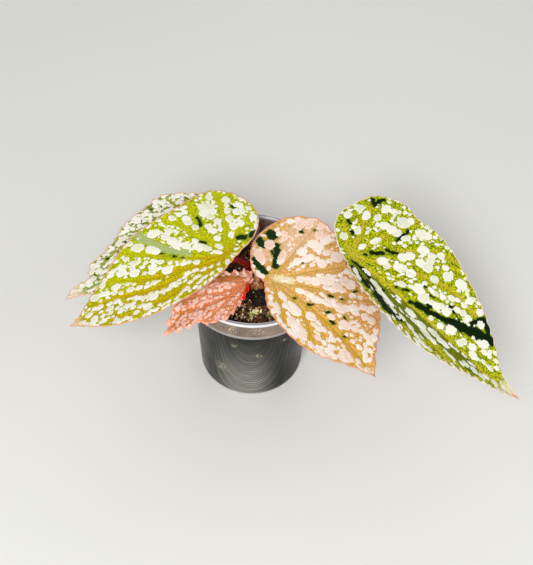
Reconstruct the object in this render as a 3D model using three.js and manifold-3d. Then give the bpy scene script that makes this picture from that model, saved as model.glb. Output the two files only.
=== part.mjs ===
// Young cane begonia in a 7 cm nursery pot: spotted, one-sided leaf blades on
// red stalks that rise from one short cane.  Millimetres, +Z up, origin at the
// centre of the pot's flat base, front towards -Y.
import * as THREE from "three";
import { mergeVertices } from "three/addons/utils/BufferGeometryUtils.js";
import Module from "manifold-3d";

const wasm = await Module();
wasm.setup();

// ---------------------------------------------------------------- driving sizes
const GAP = 0.3; // air left between two pieces that touch

const POT = {
  height: 72,
  rimRadius: 35,
  baseRadius: 26.3,
  bodyTopRadius: 29.1, // just under the collar
  collarZ: 58.7, // lower edge of the collar
  collarRadius: 33,
  wall: 1.1,
  floor: 1.4,
  lip: 1.7, // height of the rolled lip
  bead: 1.5, // height of the bead round the collar's lower edge
  beadOut: 0.6,
  drainHoles: 6,
  drainRadius: 3,
  drainCircle: 17,
  sides: 48,
};

const SOIL = {
  level: 58.6, // at the wall
  mound: 1.6, // rise towards the cane
  relief: 0.7,
  rings: 8,
  sides: 36,
  grains: 34, // grains of grit and perlite that stand out of the surface
  grainRadius: [0.8, 1.7],
  clearRound: 7, // no grains this close to the cane
};

const CANE = { x: 2.3, y: -2, foot: 48, top: 68, radius: 2.2, sides: 14 };
const STUB = { x: 1.3, y: 25.8, foot: 50, radius: 0.7, budRadius: 1.3, top: [3.8, 29, 69.2] };
const STALK = { radius: 1.25, sides: 8, steps: 13, run: 4 };
const BLADE = { thickness: 0.8, rings: 4, perSpan: 4, teethPerSpan: 2 };

// Each blade is drawn flat, in millimetres from the head of its stalk: the first
// number runs along the midrib, the second across it, to the left of the way the
// leaf points.  The margin starts and ends at the tip.
const LEAVES = {
  front_left: {
    base: [-12, -5.5, 90], heading: -155, dip: 11, bank: 5, length: 80,
    arch: 5, fold: [0.14, 0.1], crease: 4, bow: 5, wave: 1.2, waves: 5, phase: 0.4, tooth: 0.5,
    margin: [
      [80.5, 1.5], [74, -1.5], [67.5, -6.5], [58, -13], [48.5, -20.5], [38, -27], [26.5, -30.5],
      [13.5, -34], [3, -38], [-6.5, -40], [-16, -36], [-22.5, -26], [-22, -16], [-15.5, -6],
      [-4, 3], [5, 10.5], [15, 16], [28, 20], [41, 21.5], [54, 19.5], [66, 14], [76, 5.5], [80.5, 1.5],
    ],
    stalk: { side: 175, z: 66, via: [[-1.2, -2.4, 75], [-7.9, -4.4, 83]] },
  },
  back_left: {
    base: [-11.5, 9, 80], heading: -160, dip: 7, bank: 2, length: 84,
    arch: 3, fold: [0.12, 0.1], crease: 4, bow: 0, wave: 1.2, waves: 9, phase: 1, tooth: 0.8,
    margin: [
      [82.5, 3], [79.5, -1], [74.5, -3], [70, -4], [67.5, -11.5], [60.5, -15.5], [52, -21],
      [47, -26], [40.5, -29.5], [32, -34], [23.5, -38], [12.5, -36], [3, -32], [-6, -26],
      [-12, -17], [-10, -7], [-4, 2], [4, 9], [16, 14.5], [30, 17], [44, 16.5], [58, 12.5],
      [71, 6], [78, 4], [82.5, 3],
    ],
    stalk: { side: 130, z: 63.3, via: [[-2, 4, 68]] },
  },
  centre: {
    base: [9.5, -17, 84], heading: -37, dip: 18, bank: -6, length: 66,
    arch: 4, fold: [0.12, 0.16], crease: 4, bow: 1.5, wave: 1, waves: 5, phase: 0, tooth: 0.5,
    margin: [
      [65.5, -1.5], [53.5, -8.5], [42, -16.5], [35.5, -19.5], [27.5, -21], [15, -19], [7, -14.5],
      [1, -7.5], [-3, -3], [-9, -2], [-15, 3.5], [-20.5, 13], [-21.5, 24], [-17.5, 36.5],
      [-6, 43.5], [5.5, 41.5], [16, 36], [27, 31], [37, 28], [45.5, 25], [52.5, 17], [57.5, 8.5],
      [65.5, -1.5],
    ],
    stalk: { side: -55, z: 64, via: [[6, -8.5, 70]] },
  },
  right: {
    base: [46, -5, 90], heading: -36, dip: 17, bank: -8, length: 102,
    arch: 6, fold: [0.16, 0.42], crease: 3, bow: -6, wave: 1.2, waves: 5, phase: 0.8, tooth: 0.5,
    margin: [
      [102.5, -1.5], [93.5, -8], [82.5, -13.5], [72, -19], [61.5, -23.5], [48, -26.5], [38, -26],
      [27.5, -23], [16.5, -18], [6, -11], [-1.5, -4], [-9.5, 3], [-16.5, 11.5], [-18.5, 21.5],
      [-13.5, 36], [-7, 40.5], [3, 42], [12.5, 38.5], [21.5, 38], [33.5, 35], [45.5, 29],
      [60.5, 21], [71, 14.5], [79.5, 8.5], [88, 2], [96, 0], [102.5, -1.5],
    ],
    stalk: { side: 30, z: 63.4, via: [[14, 6, 68.5], [28, 13, 74.5], [40, 15.5, 80], [46, 8.5, 85]] },
  },
  young: {
    base: [-2, -12, 76], heading: -146, dip: 9, bank: 4, length: 47,
    arch: 3, fold: [0.2, 0.2], crease: 2.5, bow: 1, wave: 0.9, waves: 11, phase: 0, tooth: 1.1,
    margin: [
      [47, 1.5], [43, -3], [37.5, -7], [30, -11], [20, -13], [11, -12], [4.5, -9.5], [0, -7.5],
      [-4, -6.5], [-4.5, -1], [-1, 2.5], [4, 6], [8.5, 10], [13.5, 12.5], [19, 15.5], [24, 13],
      [29, 11.5], [31, 7.5], [36.5, 7], [42, 4.5], [47, 1.5],
    ],
    stalk: { side: -115, z: 66, via: [] },
  },
};

// ---------------------------------------------------------------- small helpers
const rad = THREE.MathUtils.degToRad;

function seededRandom(seed) {
  let state = seed;
  return () => {
    state = (state * 1664525 + 1013904223) % 4294967296;
    return state / 4294967296;
  };
}

function geometryFrom(positions, triangles) {
  const geometry = new THREE.BufferGeometry();
  geometry.setAttribute("position", new THREE.Float32BufferAttribute(positions, 3));
  geometry.setIndex(triangles);
  return geometry;
}

function toSolid(geometry) {
  const bare = geometry.clone();
  bare.deleteAttribute("normal");
  bare.deleteAttribute("uv");
  const merged = mergeVertices(bare, 1e-4);
  return new wasm.Manifold(
    new wasm.Mesh({
      numProp: 3,
      vertProperties: new Float32Array(merged.attributes.position.array),
      triVerts: new Uint32Array(merged.index.array),
    })
  );
}

function toGeometry(solid) {
  const mesh = solid.getMesh();
  return geometryFrom(Array.from(mesh.vertProperties), Array.from(mesh.triVerts));
}

function upright(geometry, x, y, z) {
  return geometry.rotateX(Math.PI / 2).translate(x, y, z);
}

// A closed tube along a curve, its radius the same from end to end.
function tubeGeometry(points, radius, steps, sides) {
  const section = new THREE.Shape();
  for (let i = 0; i < sides; i++) {
    const turn = (2 * Math.PI * i) / sides;
    const method = i === 0 ? "moveTo" : "lineTo";
    section[method](radius * Math.cos(turn), radius * Math.sin(turn));
  }
  section.closePath();
  const extrudePath = new THREE.CatmullRomCurve3(points);
  return new THREE.ExtrudeGeometry(section, { steps, extrudePath, bevelEnabled: false });
}

// ---------------------------------------------------------------- pot
function potGeometry() {
  const inner = POT.collarRadius - POT.wall;
  const lipIn = POT.rimRadius - 1.9;
  const taper = 0.6; // the collar widens by this much up to the lip
  const profile = [
    [0, 0],
    [POT.baseRadius - 0.6, 0],
    [POT.baseRadius, 0.6],
    [POT.bodyTopRadius, POT.collarZ],
    [POT.collarRadius, POT.collarZ],
    [POT.collarRadius + POT.beadOut, POT.collarZ + POT.bead / 3],
    [POT.collarRadius + POT.beadOut, POT.collarZ + (2 * POT.bead) / 3],
    [POT.collarRadius, POT.collarZ + POT.bead],
    [POT.collarRadius + taper, POT.height - POT.lip],
    [POT.rimRadius, POT.height - POT.lip],
    [POT.rimRadius, POT.height - 0.4],
    [POT.rimRadius - 0.4, POT.height],
    [lipIn + 0.3, POT.height],
    [lipIn, POT.height - 0.4],
    [inner, POT.collarZ + POT.wall + 0.2],
    [POT.bodyTopRadius - POT.wall, POT.collarZ + POT.wall],
    [POT.baseRadius - POT.wall, POT.floor],
    [0, POT.floor],
  ].map(([r, z]) => new THREE.Vector2(r, z));
  const shell = upright(new THREE.LatheGeometry(profile, POT.sides), 0, 0, 0);
  let solid = toSolid(shell);
  for (let i = 0; i < POT.drainHoles; i++) {
    const turn = (2 * Math.PI * i) / POT.drainHoles;
    const drill = new THREE.CylinderGeometry(POT.drainRadius, POT.drainRadius, 4 * POT.floor, 16);
    upright(drill, POT.drainCircle * Math.cos(turn), POT.drainCircle * Math.sin(turn), 0);
    solid = solid.subtract(toSolid(drill));
  }
  return toGeometry(solid);
}

// ---------------------------------------------------------------- soil
function soilHeight(x, y) {
  const nearCane = Math.exp(-((x - CANE.x) ** 2 + (y - CANE.y) ** 2) / 260);
  const lumps = Math.sin(0.42 * x + 1.1) * Math.cos(0.37 * y) + 0.6 * Math.sin(0.9 * x - 0.7 * y);
  return SOIL.level + SOIL.mound * nearCane + SOIL.relief * lumps * 0.6;
}

function soilGeometry() {
  const foot = POT.floor + GAP;
  const footRadius = POT.baseRadius - POT.wall - 2 * GAP;
  const topRadius = POT.bodyTopRadius - POT.wall - 2 * GAP;
  const positions = [0, 0, soilHeight(0, 0)];
  const triangles = [];
  for (let ring = 1; ring <= SOIL.rings; ring++) {
    const r = (topRadius * ring) / SOIL.rings;
    for (let i = 0; i < SOIL.sides; i++) {
      const turn = (2 * Math.PI * i) / SOIL.sides;
      const x = r * Math.cos(turn);
      const y = r * Math.sin(turn);
      positions.push(x, y, Math.min(soilHeight(x, y), ring === SOIL.rings ? SOIL.level : Infinity));
    }
  }
  for (let i = 0; i < SOIL.sides; i++) {
    const turn = (2 * Math.PI * i) / SOIL.sides;
    positions.push(footRadius * Math.cos(turn), footRadius * Math.sin(turn), foot);
  }
  const footCentre = positions.length / 3;
  positions.push(0, 0, foot);
  for (let i = 0; i < SOIL.sides; i++) {
    const next = (i + 1) % SOIL.sides;
    triangles.push(0, 1 + i, 1 + next);
    for (let ring = 0; ring < SOIL.rings; ring++) {
      const a = 1 + ring * SOIL.sides;
      const b = a + SOIL.sides;
      triangles.push(a + i, b + i, b + next, a + i, b + next, a + next);
    }
    const last = 1 + SOIL.rings * SOIL.sides;
    triangles.push(last + i, footCentre, last + next);
  }
  let solid = toSolid(geometryFrom(positions, triangles));
  const random = seededRandom(11);
  for (let i = 0; i < SOIL.grains; i++) {
    const [small, large] = SOIL.grainRadius;
    const size = small + (large - small) * random();
    const r = (topRadius - 2 * large) * Math.sqrt(random());
    const turn = 2 * Math.PI * random();
    const x = r * Math.cos(turn);
    const y = r * Math.sin(turn);
    if (Math.hypot(x - CANE.x, y - CANE.y) < SOIL.clearRound) continue;
    const grain = new THREE.IcosahedronGeometry(size, 0);
    grain.rotateX(3 * random()).rotateZ(3 * random()).translate(x, y, soilHeight(x, y) + 0.25 * size);
    solid = solid.add(toSolid(grain));
  }
  for (const stem of [CANE, STUB]) {
    const hole = stem.radius + GAP + 0.1;
    const depth = 2 * (SOIL.level - stem.foot + GAP);
    const drill = new THREE.CylinderGeometry(hole, hole, depth, 16);
    solid = solid.subtract(toSolid(upright(drill, stem.x, stem.y, SOIL.level)));
  }
  return toGeometry(solid);
}

// ---------------------------------------------------------------- cane and stub
function caneGeometry() {
  const { foot, top, radius } = CANE;
  const profile = [
    [0, foot],
    [radius - 0.3, foot],
    [radius, foot + 2],
    [radius, top - 7],
    [radius - 0.25, top - 6],
    [radius, top - 4.6],
    [radius - 0.3, top - 2],
    [0.9 * radius, top - 0.8],
    [0.5 * radius, top],
    [0, top + 0.2],
  ].map(([r, z]) => new THREE.Vector2(r, z));
  let solid = toSolid(upright(new THREE.LatheGeometry(profile, CANE.sides), CANE.x, CANE.y, 0));
  // Two papery stipules stand round the growing tip.
  for (const [turn, tall] of [[20, 8], [-160, 6.5]]) {
    const stipule = new THREE.ConeGeometry(1.9, tall, 8);
    stipule.scale(1, 1, 0.5).rotateX(Math.PI / 2).rotateZ(rad(turn + 90));
    stipule.translate(
      CANE.x + 0.9 * Math.cos(rad(turn)),
      CANE.y + 0.9 * Math.sin(rad(turn)),
      top - 1.2 + tall / 2
    );
    solid = solid.add(toSolid(stipule));
  }
  return toGeometry(solid);
}

function stubGeometry() {
  const top = new THREE.Vector3(...STUB.top);
  const points = [
    new THREE.Vector3(STUB.x, STUB.y, STUB.foot),
    new THREE.Vector3(STUB.x, STUB.y, SOIL.level),
    new THREE.Vector3((STUB.x + top.x) / 2, (STUB.y + top.y) / 2, (SOIL.level + top.z) / 2 + 1),
    top,
  ];
  const bud = new THREE.IcosahedronGeometry(STUB.budRadius, 1).scale(1, 1, 1.5);
  const stalk = toSolid(tubeGeometry(points, STUB.radius, 10, 8));
  return toGeometry(stalk.add(toSolid(bud.translate(top.x, top.y, top.z))));
}

// ---------------------------------------------------------------- leaf blades
function leafAxes(leaf) {
  const [heading, dip, bank] = [rad(leaf.heading), rad(leaf.dip), rad(leaf.bank)];
  const along = new THREE.Vector3(
    Math.cos(heading) * Math.cos(dip),
    Math.sin(heading) * Math.cos(dip),
    -Math.sin(dip)
  );
  const level = new THREE.Vector3(-Math.sin(heading), Math.cos(heading), 0);
  const across = level.applyAxisAngle(along, bank);
  const up = new THREE.Vector3().crossVectors(along, across);
  return { along, across, up };
}

// How far the blade stands off its own flat plane: an arch from base to tip, a
// fold along the bowed midrib, and waves that grow towards the margin.
function bladeHeight(leaf, u, v) {
  const way = u / leaf.length;
  const arch = 4 * leaf.arch * way * (1 - way);
  const fromMidrib = v - (u > 0 ? 4 * leaf.bow * way * (1 - way) : 0);
  const slope = fromMidrib > 0 ? leaf.fold[0] : leaf.fold[1];
  const fold = slope * (Math.hypot(fromMidrib, leaf.crease) - leaf.crease);
  const reach = Math.hypot(u, v) / leaf.length;
  return arch + fold + leaf.wave * reach ** 2 * Math.sin(leaf.waves * Math.atan2(v, u) + leaf.phase);
}

function bladePoint(leaf, axes, u, v) {
  return new THREE.Vector3(...leaf.base)
    .addScaledVector(axes.along, u)
    .addScaledVector(axes.across, v)
    .addScaledVector(axes.up, bladeHeight(leaf, u, v));
}

function bladeNormal(leaf, axes, u, v) {
  const step = 0.1;
  const alongStep = bladePoint(leaf, axes, u + step, v).sub(bladePoint(leaf, axes, u - step, v));
  const acrossStep = bladePoint(leaf, axes, u, v + step).sub(bladePoint(leaf, axes, u, v - step));
  return alongStep.cross(acrossStep).normalize();
}

// The margin as a smooth curve through its points, with fine teeth.
function marginLoop(leaf) {
  const spans = leaf.margin.length - 1;
  const points = leaf.margin.map(([u, v]) => new THREE.Vector3(u, v, 0));
  const curve = new THREE.CatmullRomCurve3(points, false, "catmullrom", 0.5);
  const loop = [];
  for (let i = 0; i < spans * BLADE.perSpan; i++) {
    const place = i / BLADE.perSpan;
    const point = curve.getPoint(place / spans);
    const saw = (place * BLADE.teethPerSpan) % 1;
    const out = leaf.tooth * (Math.abs(2 * saw - 1) - 0.5);
    const reach = point.length();
    loop.push(point.multiplyScalar((reach + out) / reach));
  }
  return loop;
}

function bladeGeometry(leaf) {
  const axes = leafAxes(leaf);
  const loop = marginLoop(leaf);
  const count = loop.length;
  const flat = [[0, 0]];
  for (let ring = 1; ring <= BLADE.rings; ring++) {
    const share = ring / BLADE.rings;
    loop.forEach((point) => flat.push([share * point.x, share * point.y]));
  }
  const top = flat.map(([u, v]) => bladePoint(leaf, axes, u, v));
  const bottom = flat.map(([u, v], i) =>
    top[i].clone().addScaledVector(bladeNormal(leaf, axes, u, v), -BLADE.thickness)
  );
  const under = flat.length;
  const triangles = [];
  const face = (a, b, c) => {
    triangles.push(a, c, b);
    triangles.push(under + a, under + b, under + c);
  };
  for (let i = 0; i < count; i++) {
    const next = (i + 1) % count;
    face(0, 1 + i, 1 + next);
    for (let ring = 1; ring < BLADE.rings; ring++) {
      const a = 1 + (ring - 1) * count;
      const b = a + count;
      face(a + i, b + i, b + next);
      face(a + i, b + next, a + next);
    }
    const edge = 1 + (BLADE.rings - 1) * count;
    triangles.push(edge + i, under + edge + next, under + edge + i);
    triangles.push(edge + i, edge + next, under + edge + next);
  }
  return geometryFrom([...top, ...bottom].flatMap((p) => [p.x, p.y, p.z]), triangles);
}

// ---------------------------------------------------------------- leaf stalks
function stalkGeometry(leaf) {
  const axes = leafAxes(leaf);
  const { side, z, via } = leaf.stalk;
  const outward = new THREE.Vector3(Math.cos(rad(side)), Math.sin(rad(side)), 0);
  const foot = new THREE.Vector3(CANE.x, CANE.y, z).addScaledVector(outward, CANE.radius + GAP);
  const normal = bladeNormal(leaf, axes, 0, 0);
  const head = bladePoint(leaf, axes, 0, 0).addScaledVector(normal, -(BLADE.thickness + GAP));
  const points = [
    foot,
    foot.clone().addScaledVector(outward, 1.2),
    ...via.map((point) => new THREE.Vector3(...point)),
    head.clone().addScaledVector(normal, -STALK.run),
    head,
  ];
  return tubeGeometry(points, STALK.radius, STALK.steps, STALK.sides);
}

// ---------------------------------------------------------------- the plant
const LOOKS = {
  pot: { color: 0x3c3e3a, roughness: 0.35 },
  soil: { color: 0x241a12, roughness: 0.95 },
  cane: { color: 0xb58a5e, roughness: 0.7 },
  dried_bud_stub: { color: 0x5a2a1c, roughness: 0.7 },
  stalk: { color: 0x7a0a10, roughness: 0.5 },
  front_left: { color: 0xb9be14, roughness: 0.45 },
  back_left: { color: 0xe0e0c8, roughness: 0.45 },
  centre: { color: 0xe0aa6e, roughness: 0.45 },
  right: { color: 0xb4b914, roughness: 0.45 },
  young: { color: 0xeb9678, roughness: 0.45 },
};

const plant = new THREE.Group();

function addPiece(name, geometry, look) {
  const material = new THREE.MeshStandardMaterial({ ...look, metalness: 0 });
  const mesh = new THREE.Mesh(geometry, material);
  mesh.name = name;
  plant.add(mesh);
}

addPiece("pot", potGeometry(), LOOKS.pot);
addPiece("soil", soilGeometry(), LOOKS.soil);
addPiece("cane", caneGeometry(), LOOKS.cane);
addPiece("dried_bud_stub", stubGeometry(), LOOKS.dried_bud_stub);
for (const [name, leaf] of Object.entries(LEAVES)) {
  addPiece(`stalk_${name}`, stalkGeometry(leaf), LOOKS.stalk);
  addPiece(`leaf_${name}`, bladeGeometry(leaf), LOOKS[name]);
}

export default plant;
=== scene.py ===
# A young spotted cane begonia in a small nursery pot.  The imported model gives
# the frame; every piece here stands for one of its nodes, or lies on one.
# Lengths are in metres unless a name or a comment says millimetres.
import math
import random
import bmesh
import bpy
import numpy as np
from mathutils import Matrix, Vector


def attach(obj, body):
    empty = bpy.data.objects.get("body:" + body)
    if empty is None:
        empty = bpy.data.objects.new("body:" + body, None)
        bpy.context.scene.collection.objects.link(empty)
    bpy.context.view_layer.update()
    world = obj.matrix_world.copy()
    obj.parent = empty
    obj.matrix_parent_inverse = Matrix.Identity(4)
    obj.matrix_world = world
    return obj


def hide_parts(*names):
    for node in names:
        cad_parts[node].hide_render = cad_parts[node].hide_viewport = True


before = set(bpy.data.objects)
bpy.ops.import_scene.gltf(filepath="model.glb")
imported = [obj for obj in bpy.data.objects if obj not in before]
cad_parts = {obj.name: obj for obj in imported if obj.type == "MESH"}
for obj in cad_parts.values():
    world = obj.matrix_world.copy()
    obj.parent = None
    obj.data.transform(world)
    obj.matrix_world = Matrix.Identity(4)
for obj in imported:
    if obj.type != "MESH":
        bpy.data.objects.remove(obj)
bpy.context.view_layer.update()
MM = 0.001

# ------------------------------------------------------------------ camera
# A long lens looks down on the pot from the front, with the picture turned a
# little clockwise.  The numbers place it so that the pot and leaves fill the
# frame as they would for a person standing at the table.
PICTURE_LONG_SIDE, FOCAL_LENGTH = 565, 1200  # pixels
SENSOR_WIDTH = 36  # mm
NEAREST = 0.01
LOOK_DOWN = math.radians(52.0)
ROLL = math.radians(1.8)
DISTANCE, STEP_RIGHT, STEP_UP = 0.6377, 0.00805, 0.03717

backwards = Vector((0, -math.cos(LOOK_DOWN), math.sin(LOOK_DOWN)))
level_right = Vector((1, 0, 0))
level_up = backwards.cross(level_right)
right = level_right * math.cos(ROLL) + level_up * math.sin(ROLL)
up = level_up * math.cos(ROLL) - level_right * math.sin(ROLL)
eye = backwards * DISTANCE + right * STEP_RIGHT + up * STEP_UP

lens = bpy.data.cameras.new("camera")
lens.sensor_width = SENSOR_WIDTH
lens.lens = FOCAL_LENGTH * SENSOR_WIDTH / PICTURE_LONG_SIDE
lens.clip_start = NEAREST
camera = bpy.data.objects.new("camera", lens)
turned_to_pot = Matrix((right, up, backwards)).transposed().to_4x4()
camera.matrix_world = Matrix.Translation(eye) @ turned_to_pot
bpy.context.collection.objects.link(camera)
bpy.context.scene.camera = camera

# ------------------------------------------------------------------ light
# Soft studio light: the main lamp high in front and a little to the left, a
# weaker one at the right, one behind, and a pale surround that fills the shadows.
LAMPS = [  # name, place, width, watts
    ("key_lamp", (-0.12, -0.66, 0.80), 0.32, 7.0),
    ("fill_lamp", (0.75, -0.45, 0.60), 0.80, 1.6),
    ("back_lamp", (0.10, 0.80, 0.70), 0.70, 1.4),
]
LIT_POINT = Vector((0.02, 0, 0.06))
SURROUND, SURROUND_STRENGTH = (1.0, 0.99, 0.97, 1), 0.46

for lamp_name, place, width, watts in LAMPS:
    lamp = bpy.data.lights.new(lamp_name, "AREA")
    lamp.size = width
    lamp.energy = watts
    holder = bpy.data.objects.new(lamp_name, lamp)
    holder.location = place
    aim = LIT_POINT - Vector(place)
    holder.rotation_euler = aim.to_track_quat("-Z", "Y").to_euler()
    bpy.context.collection.objects.link(holder)

world = bpy.data.worlds.new("surround")
world.use_nodes = True
background = world.node_tree.nodes["Background"].inputs
background["Color"].default_value = SURROUND
background["Strength"].default_value = SURROUND_STRENGTH
bpy.context.scene.world = world
bpy.context.scene.view_settings.view_transform = "Standard"


# ------------------------------------------------------------------ floor
# A plain pale table top.  Its material opens the set of shader helpers that
# every finish below is mixed with.
def maths(operation, swapped=False):
    """An operator for signals that adds its Math node."""
    def made(self, other):
        pair = (other, self) if swapped else (self, other)
        return self.finish.node("Math", {"operation": operation}, dict(enumerate(pair)))
    return made


class Signal:
    """What one node socket carries, so that shader maths reads as maths."""

    def __init__(self, finish, socket):
        self.finish = finish
        self.socket = socket

    __add__, __radd__ = maths("ADD"), maths("ADD", True)
    __sub__, __rsub__ = maths("SUBTRACT"), maths("SUBTRACT", True)
    __mul__, __rmul__ = maths("MULTIPLY"), maths("MULTIPLY", True)
    least, most = maths("MINIMUM"), maths("MAXIMUM")

    def fade(self, low, high, start=0.0, end=1.0):
        """A smooth step from start, at low, to end, at high."""
        sockets = {0: self, 1: low, 2: high, 3: start, 4: end}
        return self.finish.node("MapRange", {"interpolation_type": "SMOOTHSTEP"}, sockets)


def paint(code):
    """A screen colour such as '8fae7c' as the linear values that shaders use."""
    levels = [int(code[i:i + 2], 16) / 255 for i in (0, 2, 4)]
    linear = [c / 12.92 if c <= 0.04045 else ((c + 0.055) / 1.055) ** 2.4 for c in levels]
    return (*linear, 1.0)


class Finish:
    """One material on a Principled shader."""

    def __init__(self, name, **constants):
        self.material = bpy.data.materials.new(name)
        self.material.use_nodes = True
        self.tree = self.material.node_tree
        self.shader = self.tree.nodes["Principled BSDF"]
        for socket, value in constants.items():
            self.shader.inputs[socket.replace("_", " ")].default_value = value

    def node(self, kind, settings=None, sockets=None, output=0):
        made = self.tree.nodes.new("ShaderNode" + kind)
        for name, value in (settings or {}).items():
            setattr(made, name, value)
        for key, value in (sockets or {}).items():
            if isinstance(value, Signal):
                self.tree.links.new(value.socket, made.inputs[key])
            else:
                made.inputs[key].default_value = value
        return Signal(self, made.outputs[output])

    def mix(self, mask, under, over):
        return self.node("Mix", {"data_type": "RGBA"}, {0: mask, 6: under, 7: over}, 2)

    def place(self):
        return self.node("TexCoord", output=3)

    def attribute(self, name, output="Fac"):
        return self.node("Attribute", {"attribute_name": name}, output=output)

    def noise(self, where, scale, detail=3.0, roughness=0.5):
        sockets = {"Vector": where, "Scale": scale, "Detail": detail, "Roughness": roughness}
        return self.node("TexNoise", {}, sockets)

    def cells(self, where, scale, feature="F1"):
        return self.node("TexVoronoi", {"feature": feature}, {"Vector": where, "Scale": scale})

    def stretch(self, where, factors):
        return self.node("VectorMath", {"operation": "MULTIPLY"}, {0: where, 1: factors})

    def axis(self, where, number):
        """The x, y or z of a place in mm, as number is 0, 1 or 2."""
        return self.node("SeparateXYZ", {}, {"Vector": where}, number) * (1 / MM)

    def away(self, where, point):
        """The distance in mm from a point that is given in mm."""
        sockets = {0: where, 1: [part * MM for part in point]}
        return self.node("VectorMath", {"operation": "DISTANCE"}, sockets, 1) * (1 / MM)

    def wear(self, colour, roughness=None, height=None, depth=0.0002):
        """Joins the varying signals to the shader; height is a bump depth deep."""
        bump = height and self.node("Bump", {}, {"Height": height, "Distance": depth, "Strength": 1.0})
        for socket, value in (("Base Color", colour), ("Roughness", roughness), ("Normal", bump)):
            if value:
                self.tree.links.new(value.socket, self.shader.inputs[socket])
        return self.material


def table_finish():
    finish = Finish("table_top", Roughness=0.6)
    cloud = finish.noise(finish.place(), 3.0)
    return finish.wear(finish.mix(cloud, paint("dcdcd8"), paint("e4e4e0")))


FLOOR_HALF, FLOOR_Z = 2.5, -0.1 * MM
floor_mesh = bpy.data.meshes.new("floor")
corners = [(x * FLOOR_HALF, y * FLOOR_HALF, FLOOR_Z) for x, y in ((-1, -1), (1, -1), (1, 1), (-1, 1))]
floor_mesh.from_pydata(corners, [], [(0, 1, 2, 3)])
floor_mesh.materials.append(table_finish())
floor = bpy.data.objects.new("floor", floor_mesh)
bpy.context.collection.objects.link(floor)

# ------------------------------------------------------------------ pot
# Thin smoky grey nursery pot, blown in one piece: a rolled lip, a collar with
# a bead at its lower edge, a shoulder, and a body that tapers to a flat base
# with drain holes.  The damp soil behind the plastic shows through it faintly.
POT_HEIGHT, RIM, BASE, BODY_TOP = 72.0, 35.0, 26.3, 29.1  # mm
COLLAR_Z, COLLAR, WALL, POT_FLOOR = 58.7, 33.0, 1.1, 1.4  # mm
LIP, LIP_WIDTH, BEAD, BEAD_OUT, EDGE_ROUND = 1.7, 1.9, 1.5, 0.6, 0.45  # mm
DRAIN_HOLES, DRAIN_RADIUS, DRAIN_CIRCLE = 6, 3.0, 17.0  # count, mm, mm
POT_SIDES = 160
SHARP = math.radians(40)


def piece_from(mesh, name, replaced=()):
    """A finished mesh as a piece of the plant, riding on its one body."""
    piece = bpy.data.objects.new(name, mesh)
    bpy.context.collection.objects.link(piece)
    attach(piece, "root")
    if replaced:
        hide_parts(*replaced)
    return piece


def turned(profile, sides, centre=(0.0, 0.0)):
    """A closed body turned from (radius, height) pairs in mm; radius 0 is a pole."""
    body = bmesh.new()
    rings = []
    for radius, height in profile:
        rings.append([])
        for i in range(sides if radius else 1):
            turn = 2 * math.pi * i / sides
            x, y = centre[0] + radius * math.cos(turn), centre[1] + radius * math.sin(turn)
            rings[-1].append(body.verts.new((x * MM, y * MM, height * MM)))
    for lower, upper in zip(rings, rings[1:]):
        for i in range(sides):
            corners = [lower[i % len(lower)], lower[(i + 1) % len(lower)]]
            corners += [upper[(i + 1) % len(upper)], upper[i % len(upper)]]
            body.faces.new(list(dict.fromkeys(corners)))
    return body


def plain_mesh(name, body):
    """A finished bmesh as a mesh whose faces point outwards."""
    bmesh.ops.recalc_face_normals(body, faces=body.faces)
    mesh = bpy.data.meshes.new(name)
    body.to_mesh(mesh)
    body.free()
    return mesh


def evaluated(holder):
    """What an object's modifiers make of it, as a plain mesh; the object goes."""
    graph = bpy.context.evaluated_depsgraph_get()
    mesh = bpy.data.meshes.new_from_object(holder.evaluated_get(graph))
    bpy.data.objects.remove(holder)
    return mesh


def rounded(profile, radius, steps=4):
    """The same profile with each inner corner cut back to a small round."""
    smooth = [profile[0]]
    for before, corner, after in zip(profile, profile[1:], profile[2:]):
        here = Vector(corner)
        arms = [Vector(before) - here, Vector(after) - here]
        cut = min(radius, 0.45 * arms[0].length, 0.45 * arms[1].length)
        start, end = (here + arm.normalized() * cut for arm in arms)
        for i in range(steps + 1):
            share = i / steps
            point = start.lerp(here, share).lerp(here.lerp(end, share), share)
            smooth.append((point.x, point.y))
    smooth.append(profile[-1])
    return smooth


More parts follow.
